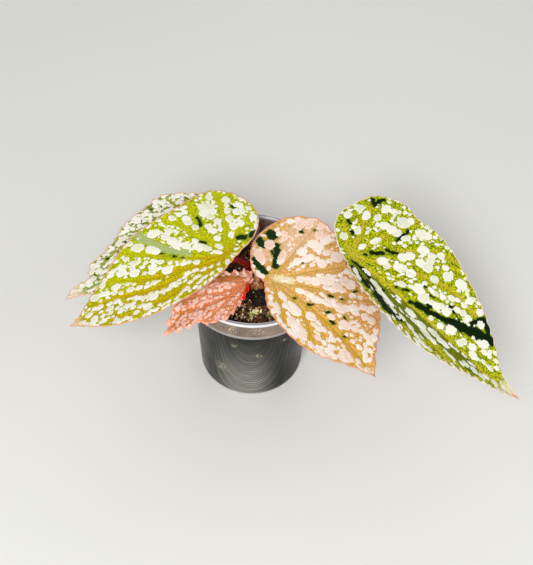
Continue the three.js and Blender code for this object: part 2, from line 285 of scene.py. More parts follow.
def pot_mesh():
    collar_in = COLLAR - WALL
    lip_in = RIM - LIP_WIDTH
    outside = [
        (0, 0), (BASE - 0.6, 0), (BASE, 0.6), (BODY_TOP, COLLAR_Z), (COLLAR, COLLAR_Z),
        (COLLAR + BEAD_OUT, COLLAR_Z + 0.3), (COLLAR + BEAD_OUT, COLLAR_Z + BEAD - 0.3),
        (COLLAR, COLLAR_Z + BEAD), (COLLAR + 0.6, POT_HEIGHT - LIP), (RIM, POT_HEIGHT - LIP),
        (RIM, POT_HEIGHT),
    ]
    inside = [
        (lip_in, POT_HEIGHT), (lip_in, POT_HEIGHT - 0.8), (collar_in, COLLAR_Z + WALL + 0.2),
        (BODY_TOP - WALL, COLLAR_Z + WALL), (BASE - WALL, POT_FLOOR), (0, POT_FLOOR),
    ]
    shell = turned(rounded(outside + inside, EDGE_ROUND), POT_SIDES)
    drills = bmesh.new()
    for i in range(DRAIN_HOLES):
        turn = 2 * math.pi * i / DRAIN_HOLES
        middle = Vector((math.cos(turn), math.sin(turn), 0)) * DRAIN_CIRCLE * MM
        bmesh.ops.create_cone(
            drills, cap_ends=True, segments=32, depth=4 * POT_FLOOR * MM,
            radius1=DRAIN_RADIUS * MM, radius2=DRAIN_RADIUS * MM, matrix=Matrix.Translation(middle),
        )
    blank = bpy.data.objects.new("pot_blank", plain_mesh("pot_shell", shell))
    drill = bpy.data.objects.new("drain_drill", plain_mesh("drain_drills", drills))
    for thing in (blank, drill):
        bpy.context.collection.objects.link(thing)
    cut = blank.modifiers.new("drain_holes", "BOOLEAN")
    cut.object = drill
    cut.solver = "EXACT"
    drilled = evaluated(blank)
    bpy.data.objects.remove(drill)
    return drilled


# Painted reflection: fine and coarse light lines on the body, bowing down from the collar, stand in for
# reflections in the glossy plastic.
REFLECTION_LINES = [  # the pitch in mm of the fine and the coarse lines, and how far they stray
    (1.7, 9), (5.0, 7),
]
LINE_SLOPE = 1.28  # mm up the wall for each mm that a line's bow is deep
DUST = [  # x, y, z, reach in mm
    (-9.2, -32.0, 64.6, 4.2), (3.6, -33.1, 65.0, 3.8), (-14.5, -23.8, 20.5, 5.5),
    (-8.0, -26.6, 45.3, 2.6), (16.3, -22.5, 45.0, 2.2), (4.3, -27.5, 36.9, 2.2),
]


def pot_finish():
    """Dark glossy plastic with fine lines of painted reflection that bow down from the
    collar, painted shade towards its left and right edges and a pool of painted
    reflection low in its middle, a brownish collar where the soil shows through, a
    bead painted paler as a highlight, and a rolled lip painted with pale highlight
    rings, painted shade between them and painted shade down its outer side."""
    finish = Finish(
        "smoky_plastic", Roughness=0.3, Specular_IOR_Level=0.1, Coat_Weight=0.02, Coat_Roughness=0.1,
    )
    where = finish.place()
    across, height = finish.axis(where, 0), finish.axis(where, 2)
    level = {0: finish.stretch(where, (1, 1, 0))}
    radius = finish.node("VectorMath", {"operation": "LENGTH"}, level, 1) * (1 / MM)
    aside = (across * across * (1 / BODY_TOP ** 2)).least(1.0)
    bulge = finish.node("Math", {"operation": "SQRT"}, {0: 1 - aside}) * BODY_TOP
    # Painted reflection: the lines bow down from the collar, finer and stronger towards the body's edges, and
    # go into its colour as light streaks.
    drawn = bulge + height * (1 - 2 * aside) * (1 / LINE_SLOPE)
    combed = finish.node("CombineXYZ", {}, {"X": drawn * 0.7, "Y": across * 0.05, "Z": height * 0.05})
    waver = finish.noise(combed, 1.0, 3.0, 0.6)
    fine, coarse = (
        finish.node("Math", {"operation": "SINE"}, {0: drawn * (2 * math.pi / pitch) + waver * stray})
        for pitch, stray in REFLECTION_LINES
    )
    fine = fine.fade(-1, 1) * aside.fade(0.55, 0.1) * waver.fade(0.3, 0.6, 0.3, 1.0)
    coarse = coarse.fade(-1, 1) * aside.fade(0.02, 0.30, 0.25, 1.0) * waver.fade(0.3, 0.65, 0.2, 1.0)
    reflection_streaks = (fine * 0.5 + coarse * coarse * 0.9).least(1.0)
    bands = finish.noise(combed, 0.3, 1.0)
    damp = finish.noise(where, 90, 4.0, 0.6)
    grit = finish.cells(where, 330)
    # The body: dark plastic under light streaks of painted reflection.
    body = finish.mix(reflection_streaks * bands.fade(0.3, 0.7, 0.4, 1.0), paint("040502"), paint("42433c"))
    # Painted reflection: a pale pool low in the middle of the body. Painted shade: the body darkens towards
    # its left and right edges.
    floor_reflection = across.fade(-22, -5) * across.fade(16, 1) * height.fade(56, 8)
    body = finish.mix(aside.fade(0.2, 0.8) * 0.65, body, paint("020302"))
    body = finish.mix(floor_reflection * (0.28 + 0.6 * reflection_streaks), body, paint("c0c0b4"))
    foot = height.fade(2.0, 0.8) * height.fade(0.2, 0.6)
    body = finish.mix(foot * 0.7, body, paint("b4b4ac"))
    shows = finish.noise(where, 60).fade(0.52, 0.66) * grit.fade(0.16, 0.1)
    body = finish.mix(shows * 0.4, body, paint("8a846c"))
    collar = finish.mix(damp.fade(0.35, 0.7), paint("77685a"), paint("a08f7e"))
    collar = finish.mix(shows.most(grit.fade(0.12, 0.07)) * 0.5, collar, paint("b9ab8c"))
    inner_wall = radius.fade(COLLAR - 0.3, COLLAR - 0.7)
    collar = finish.mix(inner_wall * 0.9, collar, paint("b0b4b8"))
    colour = finish.mix(height.fade(COLLAR_Z - 0.4, COLLAR_Z + 0.1), body, collar)
    # Painted highlight: the bead is painted paler than the collar.
    bead_top = COLLAR_Z + BEAD
    bead = height.fade(COLLAR_Z - 0.2, COLLAR_Z + 0.3) * height.fade(bead_top + 0.4, bead_top - 0.2)
    colour = finish.mix(bead * 0.7, colour, paint("a9a8a6"))
    # Painted highlight and shade on the lip: two pale highlight rings on its top, a ring of painted shade
    # between them, and painted shade down its outer side.
    lip_shade_ring = radius.fade(RIM - 1.7, RIM - 1.4) * radius.fade(RIM - 0.3, RIM - 0.7)
    lip_side_shade = height.fade(POT_HEIGHT - 0.8, POT_HEIGHT - 1.4)
    lip = finish.mix(lip_shade_ring.most(lip_side_shade) * 0.85, paint("ececee"), paint("8a8a8e"))
    lip_foot = POT_HEIGHT - LIP
    colour = finish.mix(height.fade(lip_foot - 0.5, lip_foot + 0.2), colour, lip)
    specks = finish.cells(where, 800).fade(0.4, 0.3)
    for *middle, reach in DUST:
        near = finish.away(where, middle).fade(reach, 0.3 * reach)
        colour = finish.mix(near * damp.fade(0.4, 0.7) * 0.5, colour, paint("8c9070"))
        colour = finish.mix(near * specks * 0.9, colour, paint("cfc6a4"))
    satin = finish.noise(where, 50).fade(0.3, 0.7, 0.25, 0.4)
    # The lines of painted reflection also give a faint bump.
    return finish.wear(colour, satin, reflection_streaks, 0.00003)


pot_body = pot_mesh()
pot_body.materials.clear()
pot_body.materials.append(pot_finish())
pot_body.shade_smooth()
pot_body.set_sharp_from_angle(angle=SHARP)
piece_from(pot_body, "nursery_pot", ["pot"])

# ------------------------------------------------------------------ soil
# Damp black peat up to the shoulder inside the pot, heaped a little round the
# cane, with crumbs of bark, pale grit and perlite, and a tuft of moss.
SOIL_LEVEL, SOIL_RELIEF, SWELL_SHARE = 58.6, 0.7, 0.6  # mm, mm, share of the relief in broad swells
SOIL_MOUND, MOUND_SPREAD = 1.6, 260  # mm, square mm
WALL_GAP, FOOT_GAP, FLOOR_GAP = 0.5, 0.6, 0.4  # mm between the soil and the plastic
SOIL_SIDE = 3  # mm that the soil's side begins below its level
CANE_X, CANE_Y, CANE_RADIUS = 2.3, -2.0, 2.2  # mm
STUB_X, STUB_Y, STUB_RADIUS = 1.3, 25.8, 0.7  # mm
SOIL_RINGS, SOIL_SIDES = 90, 220
# Painted shadow: the peat is painted darkest round this point, where it lies in shade beside the cane.
CANE_SHADE_POINT = (3.8, -8.5, 59.0)  # mm; the peat lies darkest here, in the lee of the cane
LUMPS = [(1.4, 0.45, 3), (0.55, 0.22, 7)]  # width of a lump and its height in mm, its seed


def wavy(x, y, width, seed):
    """A smooth uneven field of about one lump per width, between -1 and 1."""
    draw = random.Random(seed)
    field = 0
    for _ in range(9):
        turn = draw.uniform(0, 2 * math.pi)
        pace = draw.uniform(0.7, 1.6) * math.pi / width
        field = field + np.sin(pace * (x * math.cos(turn) + y * math.sin(turn)) + draw.uniform(0, 6.28))
    return field / 4


def soil_height(x, y):
    near_cane = np.exp(-((x - CANE_X) ** 2 + (y - CANE_Y) ** 2) / MOUND_SPREAD)
    broad = np.sin(0.42 * x + 1.1) * np.cos(0.37 * y) + 0.6 * np.sin(0.9 * x - 0.7 * y)
    height = SOIL_LEVEL + SOIL_MOUND * near_cane + SOIL_RELIEF * broad * SWELL_SHARE
    for width, tall, seed in LUMPS:
        height = height + tall * wavy(x, y, width, seed)
    return height


def soil_mesh():
    top_radius = BODY_TOP - WALL - WALL_GAP
    foot_radius = BASE - WALL - FOOT_GAP
    foot_height = POT_FLOOR + FLOOR_GAP
    points = [(0, 0, float(soil_height(0, 0)))]
    for ring in range(1, SOIL_RINGS + 1):
        turns = 2 * np.pi * np.arange(SOIL_SIDES) / SOIL_SIDES
        x = top_radius * ring / SOIL_RINGS * np.cos(turns)
        y = top_radius * ring / SOIL_RINGS * np.sin(turns)
        points += list(zip(x, y, soil_height(x, y)))
    for radius, height in ((top_radius, SOIL_LEVEL - SOIL_SIDE), (foot_radius, foot_height)):
        points += [(radius * math.cos(t), radius * math.sin(t), height) for t in turns]
    points.append((0, 0, foot_height))
    faces = []
    for i in range(SOIL_SIDES):
        after = (i + 1) % SOIL_SIDES
        faces.append((0, 1 + i, 1 + after))
        for ring in range(SOIL_RINGS + 1):
            inner = 1 + ring * SOIL_SIDES
            outer = inner + SOIL_SIDES
            faces.append((inner + i, outer + i, outer + after, inner + after))
        faces.append((outer + i, len(points) - 1, outer + after))
    mesh = bpy.data.meshes.new("potting_soil")
    mesh.from_pydata([(x * MM, y * MM, z * MM) for x, y, z in points], [], faces)
    return mesh


def soil_finish():
    finish = Finish("damp_peat", Roughness=0.85)
    where = finish.place()
    clods = finish.noise(where, 420, 5.0, 0.65)
    fibres = finish.noise(finish.stretch(where, (900, 250, 500)), 1.0, 3.0)
    colour = finish.mix(clods.fade(0.38, 0.66), paint("080402"), paint("74461f"))
    colour = finish.mix(fibres.fade(0.58, 0.7) * 0.7, colour, paint("a47a4c"))
    # Painted shadow: near-black peat round the cane, where it lies in shade.
    painted_shadow = finish.away(where, CANE_SHADE_POINT).fade(7.5, 3.5)
    colour = finish.mix(painted_shadow * 0.85, colour, paint("040201"))
    return finish.wear(colour, clods.fade(0.3, 0.7, 0.95, 0.6), clods, 0.0006)


peat = soil_mesh()
peat.materials.append(soil_finish())
peat.shade_smooth()
piece_from(peat, "potting_soil", ["soil"])


class Growth:
    """A Geometry Nodes tree that makes a piece's solid from a plain mesh."""

    def __init__(self, name, **inputs):
        self.group = bpy.data.node_groups.new(name, "GeometryNodeTree")
        for label, kind in dict(Base="Geometry", **inputs).items():
            self.socket(label, "INPUT", kind)
        self.socket("Solid", "OUTPUT", "Geometry")

    def socket(self, label, side, kind):
        self.group.interface.new_socket(label, in_out=side, socket_type="NodeSocket" + kind)

    def add(self, kind, settings=None, sockets=None):
        made = self.group.nodes.new(kind)
        for key, value in (settings or {}).items():
            setattr(made, key, value)
        for key, value in (sockets or {}).items():
            if isinstance(value, bpy.types.NodeSocket):
                self.group.links.new(value, made.inputs[key])
            else:
                made.inputs[key].default_value = value
        return made.outputs

    def end(self, shape, material):
        solid = self.add("GeometryNodeRealizeInstances", None, {0: shape})
        painted = self.add("GeometryNodeSetMaterial", None, {0: solid[0], "Material": material})
        self.add("NodeGroupOutput", None, {0: painted[0]})

    def grow(self, base, **values):
        """What the tree makes on a mesh with these inputs, as a plain mesh."""
        holder = bpy.data.objects.new(self.group.name, base)
        bpy.context.collection.objects.link(holder)
        modifier = holder.modifiers.new("growth", "NODES")
        modifier.node_group = self.group
        for socket in self.group.interface.items_tree:
            if socket.in_out == "INPUT" and socket.name in values:
                modifier[socket.identifier] = values[socket.name]
        return evaluated(holder)


def crumb_finish(name, dark, light):
    finish = Finish(name, Roughness=0.8)
    where = finish.place()
    grain = finish.noise(where, 700, 3.0)
    colour = finish.mix(grain.fade(0.35, 0.65), paint(dark), paint(light))
    return finish.wear(colour, None, grain, 0.0002)


def scatter(name, material):
    """Rough crumbs strewn over the upper face of a ground mesh, near its middle."""
    tree = Growth(
        name, Density="Float", Smallest="Float", Largest="Float", Flatness="Float", Lift="Float",
        Seed="Int", Middle="Vector", Spread="Float",
    )
    add = tree.add
    given = add("NodeGroupInput")
    where = add("GeometryNodeInputPosition")[0]
    away = add("ShaderNodeVectorMath", {"operation": "DISTANCE"}, {0: where, 1: given["Middle"]})
    near = add("FunctionNodeCompare", {"operation": "LESS_THAN"}, {0: away["Value"], 1: given["Spread"]})
    facing = add("ShaderNodeSeparateXYZ", None, {0: add("GeometryNodeInputNormal")[0]})
    upward = add("FunctionNodeCompare", {"operation": "GREATER_THAN"}, {0: facing[2], 1: 0.3})
    chosen = add("FunctionNodeBooleanMath", {"operation": "AND"}, {0: near[0], 1: upward[0]})
    strewn = add("GeometryNodeDistributePointsOnFaces", None, {
        "Mesh": given["Base"], "Selection": chosen[0], "Density": given["Density"], "Seed": given["Seed"],
    })
    size = add("FunctionNodeRandomValue", {"data_type": "FLOAT"}, {
        2: given["Smallest"], 3: given["Largest"], "Seed": given["Seed"],
    })
    turn = add("FunctionNodeRandomValue", {"data_type": "FLOAT_VECTOR"}, {
        0: (0, 0, 0), 1: (6.28, 6.28, 6.28), "Seed": given["Seed"],
    })
    crumb = add("GeometryNodeMeshIcoSphere", None, {"Radius": 1.0, "Subdivisions": 2})
    ripple = add("ShaderNodeTexNoise", None, {"Scale": 1.3, "Detail": 2.0})
    centred = add("ShaderNodeVectorMath", {"operation": "SUBTRACT"}, {0: ripple["Color"], 1: (0.5, 0.5, 0.5)})
    shift = add("ShaderNodeVectorMath", {"operation": "SCALE"}, {0: centred[0], "Scale": 1.1})
    rough = add("GeometryNodeSetPosition", None, {"Geometry": crumb[0], "Offset": shift[0]})
    squash = add("ShaderNodeCombineXYZ", None, {0: 1.0, 1: 0.75, 2: given["Flatness"]})
    flat = add("GeometryNodeTransform", None, {"Geometry": rough[0], "Scale": squash[0]})
    raise_by = add("ShaderNodeCombineXYZ", None, {2: given["Lift"]})
    lifted = add("GeometryNodeSetPosition", None, {"Geometry": strewn["Points"], "Offset": raise_by[0]})
    copies = add("GeometryNodeInstanceOnPoints", None, {
        "Points": lifted[0], "Instance": flat[0], "Rotation": turn[0], "Scale": size[1],
    })
    tree.end(copies[0], material)
    return tree


CRUMBS = [
    # name, then its finish: name, dark and light colour
    # middle and reach in mm, crumbs per square metre, smallest and largest radius in mm,
    # flatness, lift in mm, seed
    ("bark_crumbs", ("bark_crumb", "4a260e", "d89450"), (0, 0), 27.0, 90000, 0.3, 0.9, 0.6, 0.1, 4),
    ("dark_crumbs", ("dark_crumb", "060301", "2c1a0c"), (0, 0), 27.0, 150000, 0.4, 1.1, 0.7, 0.1, 5),
    ("tan_grit", ("tan_grit", "cc9054", "ffe8bc"), (0, 0), 26.5, 55000, 0.3, 0.8, 0.7, 0.1, 6),
    ("bright_grit", ("bright_grit", "dc9c58", "fff2d4"), (-4.5, -16.5), 6.5, 170000, 0.4, 0.95, 0.7, 0.25, 9),
    ("perlite", ("perlite", "f0e0c4", "fff8e8"), (0, 0), 26.5, 9000, 0.35, 0.8, 0.85, 0.1, 8),
    ("moss_tuft", ("moss", "dcd868", "fffcd4"), (2.8, -17.3), 1.9, 1000000, 0.6, 1.1, 0.7, 0.9, 12),
    ("moss_fleck", ("moss_green", "7c8c1c", "c0cc70"), (8.7, -18.2), 1.6, 1200000, 0.4, 0.8, 0.5, 0.5, 13),
    ("moss_foot", ("moss_pale", "98b02c", "e4ec9c"), (0.5, -19.4), 1.7, 1000000, 0.4, 0.8, 0.5, 0.5, 14),
    ("moss_dots", ("moss_lime", "a8bc40", "f0f0c0"), (-0.9, -22.3), 1.4, 800000, 0.35, 0.6, 0.5, 0.4, 15),
]
for name, colours, (x, y), reach, density, smallest, largest, flatness, lift, seed in CRUMBS:
    grains = scatter(name, crumb_finish(*colours)).grow(
        peat, Density=float(density), Smallest=smallest * MM, Largest=largest * MM, Flatness=flatness,
        Lift=lift * MM, Seed=seed, Spread=reach * MM,
        Middle=(x * MM, y * MM, float(soil_height(x, y)) * MM),
    )
    grains.shade_smooth()
    piece_from(grains, name)

# ------------------------------------------------------------------ cane
# The main stem: a short tan cane that stands in its hole in the soil, ringed
# where old leaves fell, with striped papery stipules round its tip; cane and
# stipules are painted paler on the left as light and darker brown on the right
# as painted shade.
CANE_FOOT, CANE_TOP = 48.0, 68.0  # mm
STIPULES = [
    # way that it faces in degrees, its foot, length, half width and outward lean in mm
    (-98, 60.0, 8.8, 3.3, 2.6), (20, 65.4, 8.0, 1.75, -0.9), (-160, 65.4, 6.5, 1.75, -0.9),
]
BARK_SIDES, BARK_ROUND = 40, 0.6  # count, mm
STIPULE_ROWS, STIPULE_COLUMNS, STIPULE_THICK = 14, 9, 0.12  # count, count, mm


def cane_mesh():
    r = CANE_RADIUS
    profile = [
        (0, CANE_FOOT), (r - 0.3, CANE_FOOT), (r, CANE_FOOT + 2), (r, CANE_TOP - 7),
        (r - 0.3, CANE_TOP - 6.2), (r + 0.05, CANE_TOP - 5.2), (r - 0.25, CANE_TOP - 2),
        (0.9 * r, CANE_TOP - 0.8), (0.5 * r, CANE_TOP), (0, CANE_TOP + 0.2),
    ]
    return plain_mesh("cane", turned(rounded(profile, BARK_ROUND), BARK_SIDES, (CANE_X, CANE_Y)))


def stipule_mesh(turn, foot_z, tall, half_width, lean):
    """A boat-shaped papery scale that hugs the cane and ends in a point."""
    outward = Vector((math.cos(turn), math.sin(turn), 0))
    sideways = Vector((-math.sin(turn), math.cos(turn), 0))
    foot = Vector((CANE_X, CANE_Y, foot_z))
    rows, columns, wide = STIPULE_ROWS, STIPULE_COLUMNS, STIPULE_COLUMNS + 1
    points = []
    for skin in (0, STIPULE_THICK):
        for row in range(rows + 1):
            share = row / rows
            half = half_width * math.sin(math.pi * (0.28 + 0.70 * share)) ** 0.8
            for column in range(wide):
                across = 2 * column / columns - 1
                cup = 1.9 + lean * share - 0.9 * across ** 2 * (1 - 0.5 * share)
                out = cup + skin + 0.12 * math.sin(9 * across)
                level = foot + outward * out + sideways * half * across
                points.append((level + Vector((0, 0, tall * share))) * MM)
    shift = len(points) // 2
    starts = [row * wide + column for row in range(rows) for column in range(columns)]
    quads = [(i, i + 1, i + 1 + wide, i + wide) for i in starts]
    faces = [quad[::-1] for quad in quads] + [tuple(shift + i for i in quad) for quad in quads]
    last = rows * wide
    rim = list(range(columns)) + list(range(columns, last, wide))
    rim += list(range(last + columns, last, -1)) + list(range(last, 0, -wide))
    for here, after in zip(rim, rim[1:] + rim[:1]):
        faces.append((here, after, shift + after, shift + here))
    mesh = bpy.data.meshes.new("stipule")
    mesh.from_pydata(points, [], faces)
    return mesh


def joined(name, meshes):
    """Several meshes as one, with faces turned outwards."""
    whole = bmesh.new()
    for mesh in meshes:
        whole.from_mesh(mesh)
        bpy.data.meshes.remove(mesh)
    mesh = plain_mesh(name, whole)
    mesh.shade_smooth()
    return mesh


def bark_finish():
    finish = Finish("cane_and_stipules", Roughness=0.6)
    where = finish.place()
    stripes = finish.noise(finish.stretch(where, (1500, 1500, 90)), 1.0, 2.0)
    patch = finish.noise(where, 260)
    colour = finish.mix(stripes.fade(0.4, 0.62), paint("ffe0b0"), paint("ec8c3c"))
    colour = finish.mix(patch.fade(0.5, 0.7) * 0.6, colour, paint("ffa878"))
    # Painted light and shade: paler towards the left, where the light falls, and darker brown towards the
    # right, in shade.
    side = finish.axis(where, 0)
    colour = finish.mix(side.fade(2.4, 1.0) * 0.6, colour, paint("ffc8a8"))
    colour = finish.mix(side.fade(2.4, 3.8) * 0.8, colour, paint("5a2c10"))
    return finish.wear(colour, None, stripes, 0.0001)


scales = [stipule_mesh(math.radians(turn), *sizes) for turn, *sizes in STIPULES]
cane = joined("cane_stem", [cane_mesh()] + scales)
cane.materials.append(bark_finish())
piece_from(cane, "cane_stem", ["cane"])

# ------------------------------------------------------------------ leaf blades
# Five blades of one kind: lopsided, pointed, toothed, each drawn flat in mm from
# the head of its stalk, then arched, folded along the midrib and waved.  Every
# blade is one skin about 0.5 mm thick, with its veins pressed in from above.

# A leaf is given in mm and degrees.  A flat place on it is (u, v): u along the
# midrib from the head of the stalk, v to its left.
#   base, heading, dip, bank, length: where it sits, how it is turned, how long it is
#   arch, fold, crease, bow: rise of its middle, slopes left and right, how sharp
#     the fold is, and how far the midrib strays
#   wave, waves, phase: height, number and start of its waves
#   tooth, frill, frills: depth of the teeth, height and number of the frills
#   margin, veins: the outline, and the lines of the main veins
#   rows, placed: spots as radius, pitch, stretch and line; as u, v, radius, stretch
#   spot_sizes: largest and smallest radius and number of tries of the thrown spots
#   seed, clump, crowd, stretch, thin: seed of the throws, size of their clumps, and
#     how thickly they come, how long they are and what is cut off them, left and right
#   bare, apart: bare strip beside a main vein, and room between spots
#   dark, wash, flush, stain: patches as width and line; clear: where no spot falls
#   zone: way across the leaf, and how far along it the far colours begin
#   tip_from: share of the length where the tip's colour begins
#   softness, flecks, band, grainy, drawn: of the spots' edges, of the dark flecks,
#     of the bands along the veins, of the grain, and of the drawn lines of the veins
BLADE_THICK, SKIN_DROP = 0.5, 0.2  # mm
SPAN_STEPS, VEIN_STEPS, TEETH_PER_SPAN = 14, 5, 2
TOP_RINGS, UNDER_RINGS, RING_EASE = 96, 24, 0.85
VEIN_SPACING, VEIN_REACH = 8.5, 15  # mm
VEIN_ANGLE, VEIN_BEND = math.radians(40), math.radians(14)
RIB, RIB_WIDTH, SIDE_RIB, SIDE_RIB_WIDTH, RIB_BELOW = 0.30, 1.1, 0.14, 0.7, 1.3  # mm, the last a share
SPOT_SWELL, SWELL_RUN, MARGIN_RUN, FRILL_REACH = 0.10, 0.8, 1.5, 3.5  # mm
MARGIN_SHARE = 0.35  # of the blade's thickness
SIDE_ROOM, OVER_SIDE_VEIN, OVER_MARGIN = 1.3, 0.35, 0.4  # share, mm, mm
TIP_ROOM, CLUMP_ROOM = 0.6, 2.4  # share of the bare strip that goes by the tip, mm


def spans(points):
    """Each span of a line with the points before and after it, mirrored at the ends."""
    ends = [2 * points[0] - points[1], *points, 2 * points[-1] - points[-2]]
    return zip(ends, ends[1:], ends[2:], ends[3:])


def cubic(start, end, leave, arrive, t):
    """The point a share t along a span that is left and reached at these paces."""
    point = start + leave * t + (3 * (end - start) - 2 * leave - arrive) * t ** 2
    return point + (2 * (start - end) + leave + arrive) * t ** 3


def margin_loop(leaf):
    """The toothed margin, as a smooth curve through the leaf's points."""
    loop = []
    for i, (before, start, end, after) in enumerate(spans(np.array(leaf["margin"], float))):
        for step in range(SPAN_STEPS):
            t = step / SPAN_STEPS
            point = cubic(start, end, (end - before) / 2, (after - start) / 2, t)
            saw = ((i + t) * TEETH_PER_SPAN) % 1
            out = leaf["tooth"] * (abs(2 * saw - 1) - 0.5)
            loop.append(point * (1 + out / np.hypot(*point)))
    return np.array(loop)


def leaf_axes(leaf):
    heading, dip, bank = (math.radians(leaf[word]) for word in ("heading", "dip", "bank"))
    along = Vector((math.cos(heading) * math.cos(dip), math.sin(heading) * math.cos(dip), -math.sin(dip)))
    level = Vector((-math.sin(heading), math.cos(heading), 0))
    across = Matrix.Rotation(bank, 3, along) @ level
    return np.array(along), np.array(across), np.array(along.cross(across))


def blade_height(leaf, u, v):
    way = u / leaf["length"]
    arch = 4 * leaf["arch"] * way * (1 - way)
    from_midrib = v - np.where(u > 0, 4 * leaf["bow"] * way * (1 - way), 0)
    slope = np.where(from_midrib > 0, leaf["fold"][0], leaf["fold"][1])
    fold = slope * (np.hypot(from_midrib, leaf["crease"]) - leaf["crease"])
    reach = np.hypot(u, v) / leaf["length"]
    wave = leaf["wave"] * reach ** 2 * np.sin(leaf["waves"] * np.arctan2(v, u) + leaf["phase"])
    return arch + fold + wave


def blade_points(leaf, u, v):
    along, across, up = leaf_axes(leaf)
    lift = blade_height(leaf, u, v)
    return np.array(leaf["base"]) + np.outer(u, along) + np.outer(v, across) + np.outer(lift, up)


def blade_normals(leaf, u, v, step=0.1):
    along_step = blade_points(leaf, u + step, v) - blade_points(leaf, u - step, v)
    across_step = blade_points(leaf, u, v + step) - blade_points(leaf, u, v - step)
    normal = np.cross(along_step, across_step)
    return normal / np.linalg.norm(normal, axis=1)[:, None]


def off_lines(points, lines):
    """Distance from each flat point to the nearest of the polylines."""
    nearest = np.full(len(points), 1e9)
    for line in lines:
        for start, end in zip(line, line[1:]):
            start = np.array(start, float)
            run = np.array(end, float) - start
            share = np.clip((points - start) @ run / (run @ run + 1e-9), 0, 1)
            nearest = np.minimum(nearest, np.linalg.norm(points - start - share[:, None] * run, axis=1))
    return nearest


def off_patches(points, patches, share=1.0):
    """Distance from each flat point to the nearest patch, each a width and a line."""
    return np.min([off_lines(points, [line]) - share * width for width, line in patches], axis=0)


def curved(line):
    """A vein: a smooth run from the stalk's head through the given points."""
    points = np.array([(0, 0), *line], float)
    run = []
    for before, start, end, after in spans(points):
        for t in np.arange(VEIN_STEPS) / VEIN_STEPS:
            run.append(cubic(start, end, (end - before) / 2, (after - start) / 2, t))
    return run + [points[-1]]


def side_veins(mains):
    """Side veins that leave each main vein in turn to left and right."""
    veins = []
    for main in mains:
        gone, due, hand = 0.0, VEIN_SPACING, 1
        for start, end in zip(main, main[1:]):
            run = end - start
            gone += np.hypot(*run)
            if gone < due:
                continue
            due += VEIN_SPACING / 2
            hand = -hand
            turn = math.atan2(run[1], run[0]) + hand * VEIN_ANGLE
            bend = turn - hand * VEIN_BEND
            half = end + VEIN_REACH / 2 * np.array([math.cos(turn), math.sin(turn)])
            veins.append([end, half, half + VEIN_REACH / 2 * np.array([math.cos(bend), math.sin(bend)])])
    return veins


def inside(points, loop):
    """Which flat points lie within the margin."""
    crossed = np.zeros(len(points), bool)
    for (x1, y1), (x2, y2) in zip(loop, np.roll(loop, -1, axis=0)):
        level = (y1 > points[:, 1]) != (y2 > points[:, 1])
        reach = (x2 - x1) * (points[:, 1] - y1) / (y2 - y1 + 1e-12) + x1
        crossed ^= level & (points[:, 0] < reach)
    return crossed


def strung(line, pitch):
    """Points along a line of (u, v) points, one to each pitch."""
    points = np.array(line, float)
    gone = np.concatenate([[0], np.cumsum(np.hypot(*np.diff(points, axis=0).T))])
    stops = np.arange(0, gone[-1] + pitch / 2, pitch)
    return np.column_stack([np.interp(stops, gone, points[:, axis]) for axis in (0, 1)])


def throw_spots(leaf, loop, mains, sides):
    """Pale spots as (u, v, radius, shade, stretch): the largest, then the rows
    between the veins, then smaller ones in the gaps, each kept off the main
    veins and the dark patches."""
    draw = np.random.default_rng(leaf["seed"])
    low, high = loop.min(axis=0), loop.max(axis=0)
    placed = leaf.get("placed", [])
    spots = [(u, v, radius, draw.random(), pull) for u, v, radius, pull in placed]
    for radius, pitch, pull, line in leaf.get("rows", []):
        for point in strung(line, pitch):
            u, v = point + draw.normal(0, 0.2 * radius, 2)
            size, shade, stretch = draw.uniform(0.8, 1.15), draw.random(), draw.uniform(0.85, 1.15)
            spots.append((u, v, radius * size, shade, pull * stretch))
    spots = np.array(spots).reshape(-1, 5)
    edge = [[*loop, loop[0]]]
    for largest, smallest, tries in leaf["spot_sizes"]:
        tried = low + (high - low) * draw.random((tries, 2))
        tried = tried[inside(tried, loop)]
        far_out = np.clip(np.hypot(*tried.T) / leaf["length"], 0, 1)
        crowd = np.where(tried[:, 1] > 0, *leaf["crowd"])
        rooms = [
            off_lines(tried, mains) - leaf["bare"] * (1 - TIP_ROOM * far_out),
            off_lines(tried, sides) * SIDE_ROOM + OVER_SIDE_VEIN,
            off_lines(tried, edge) + OVER_MARGIN,
            CLUMP_ROOM * (wavy(*tried.T, leaf["clump"], leaf["seed"]) + crowd),
        ]
        for word, share in (("dark", 0.8), ("clear", 1.0)):
            if word in leaf:
                rooms.append(off_patches(tried, leaf[word], share))
        room = np.min(rooms, axis=0)
        sizes = smallest + (largest - smallest) * draw.random(len(tried)) ** 1.3
        shades, pulls = draw.random((2, len(tried)))
        for point, size, gap, shade, pull in zip(tried, sizes, room, shades, pulls):
            radius = min(size, gap)
            if radius < smallest * 0.7:
                continue
            stretch = leaf["stretch"][0 if point[1] > 0 else 1] * (0.8 + 0.4 * pull)
            far = ray_distance(point[None], spots)[0] - leaf["apart"] * (spots[:, 2] + radius)
            if len(far) == 0 or far.min() > 0:
                spots = np.vstack([spots, [point[0], point[1], radius, shade, stretch]])
    return spots


def ray_distance(points, spots):
    """Distance from points to spot centres, shortened along the spots' rays."""
    away = points[:, None, :] - spots[None, :, :2]
    rays = spots[:, :2] / (np.linalg.norm(spots[:, :2], axis=1)[:, None] + 1e-9)
    along = (away * rays[None]).sum(axis=2)
    across = away[..., 0] * rays[None, :, 1] - away[..., 1] * rays[None, :, 0]
    return np.hypot(along / spots[None, :, 4], across)


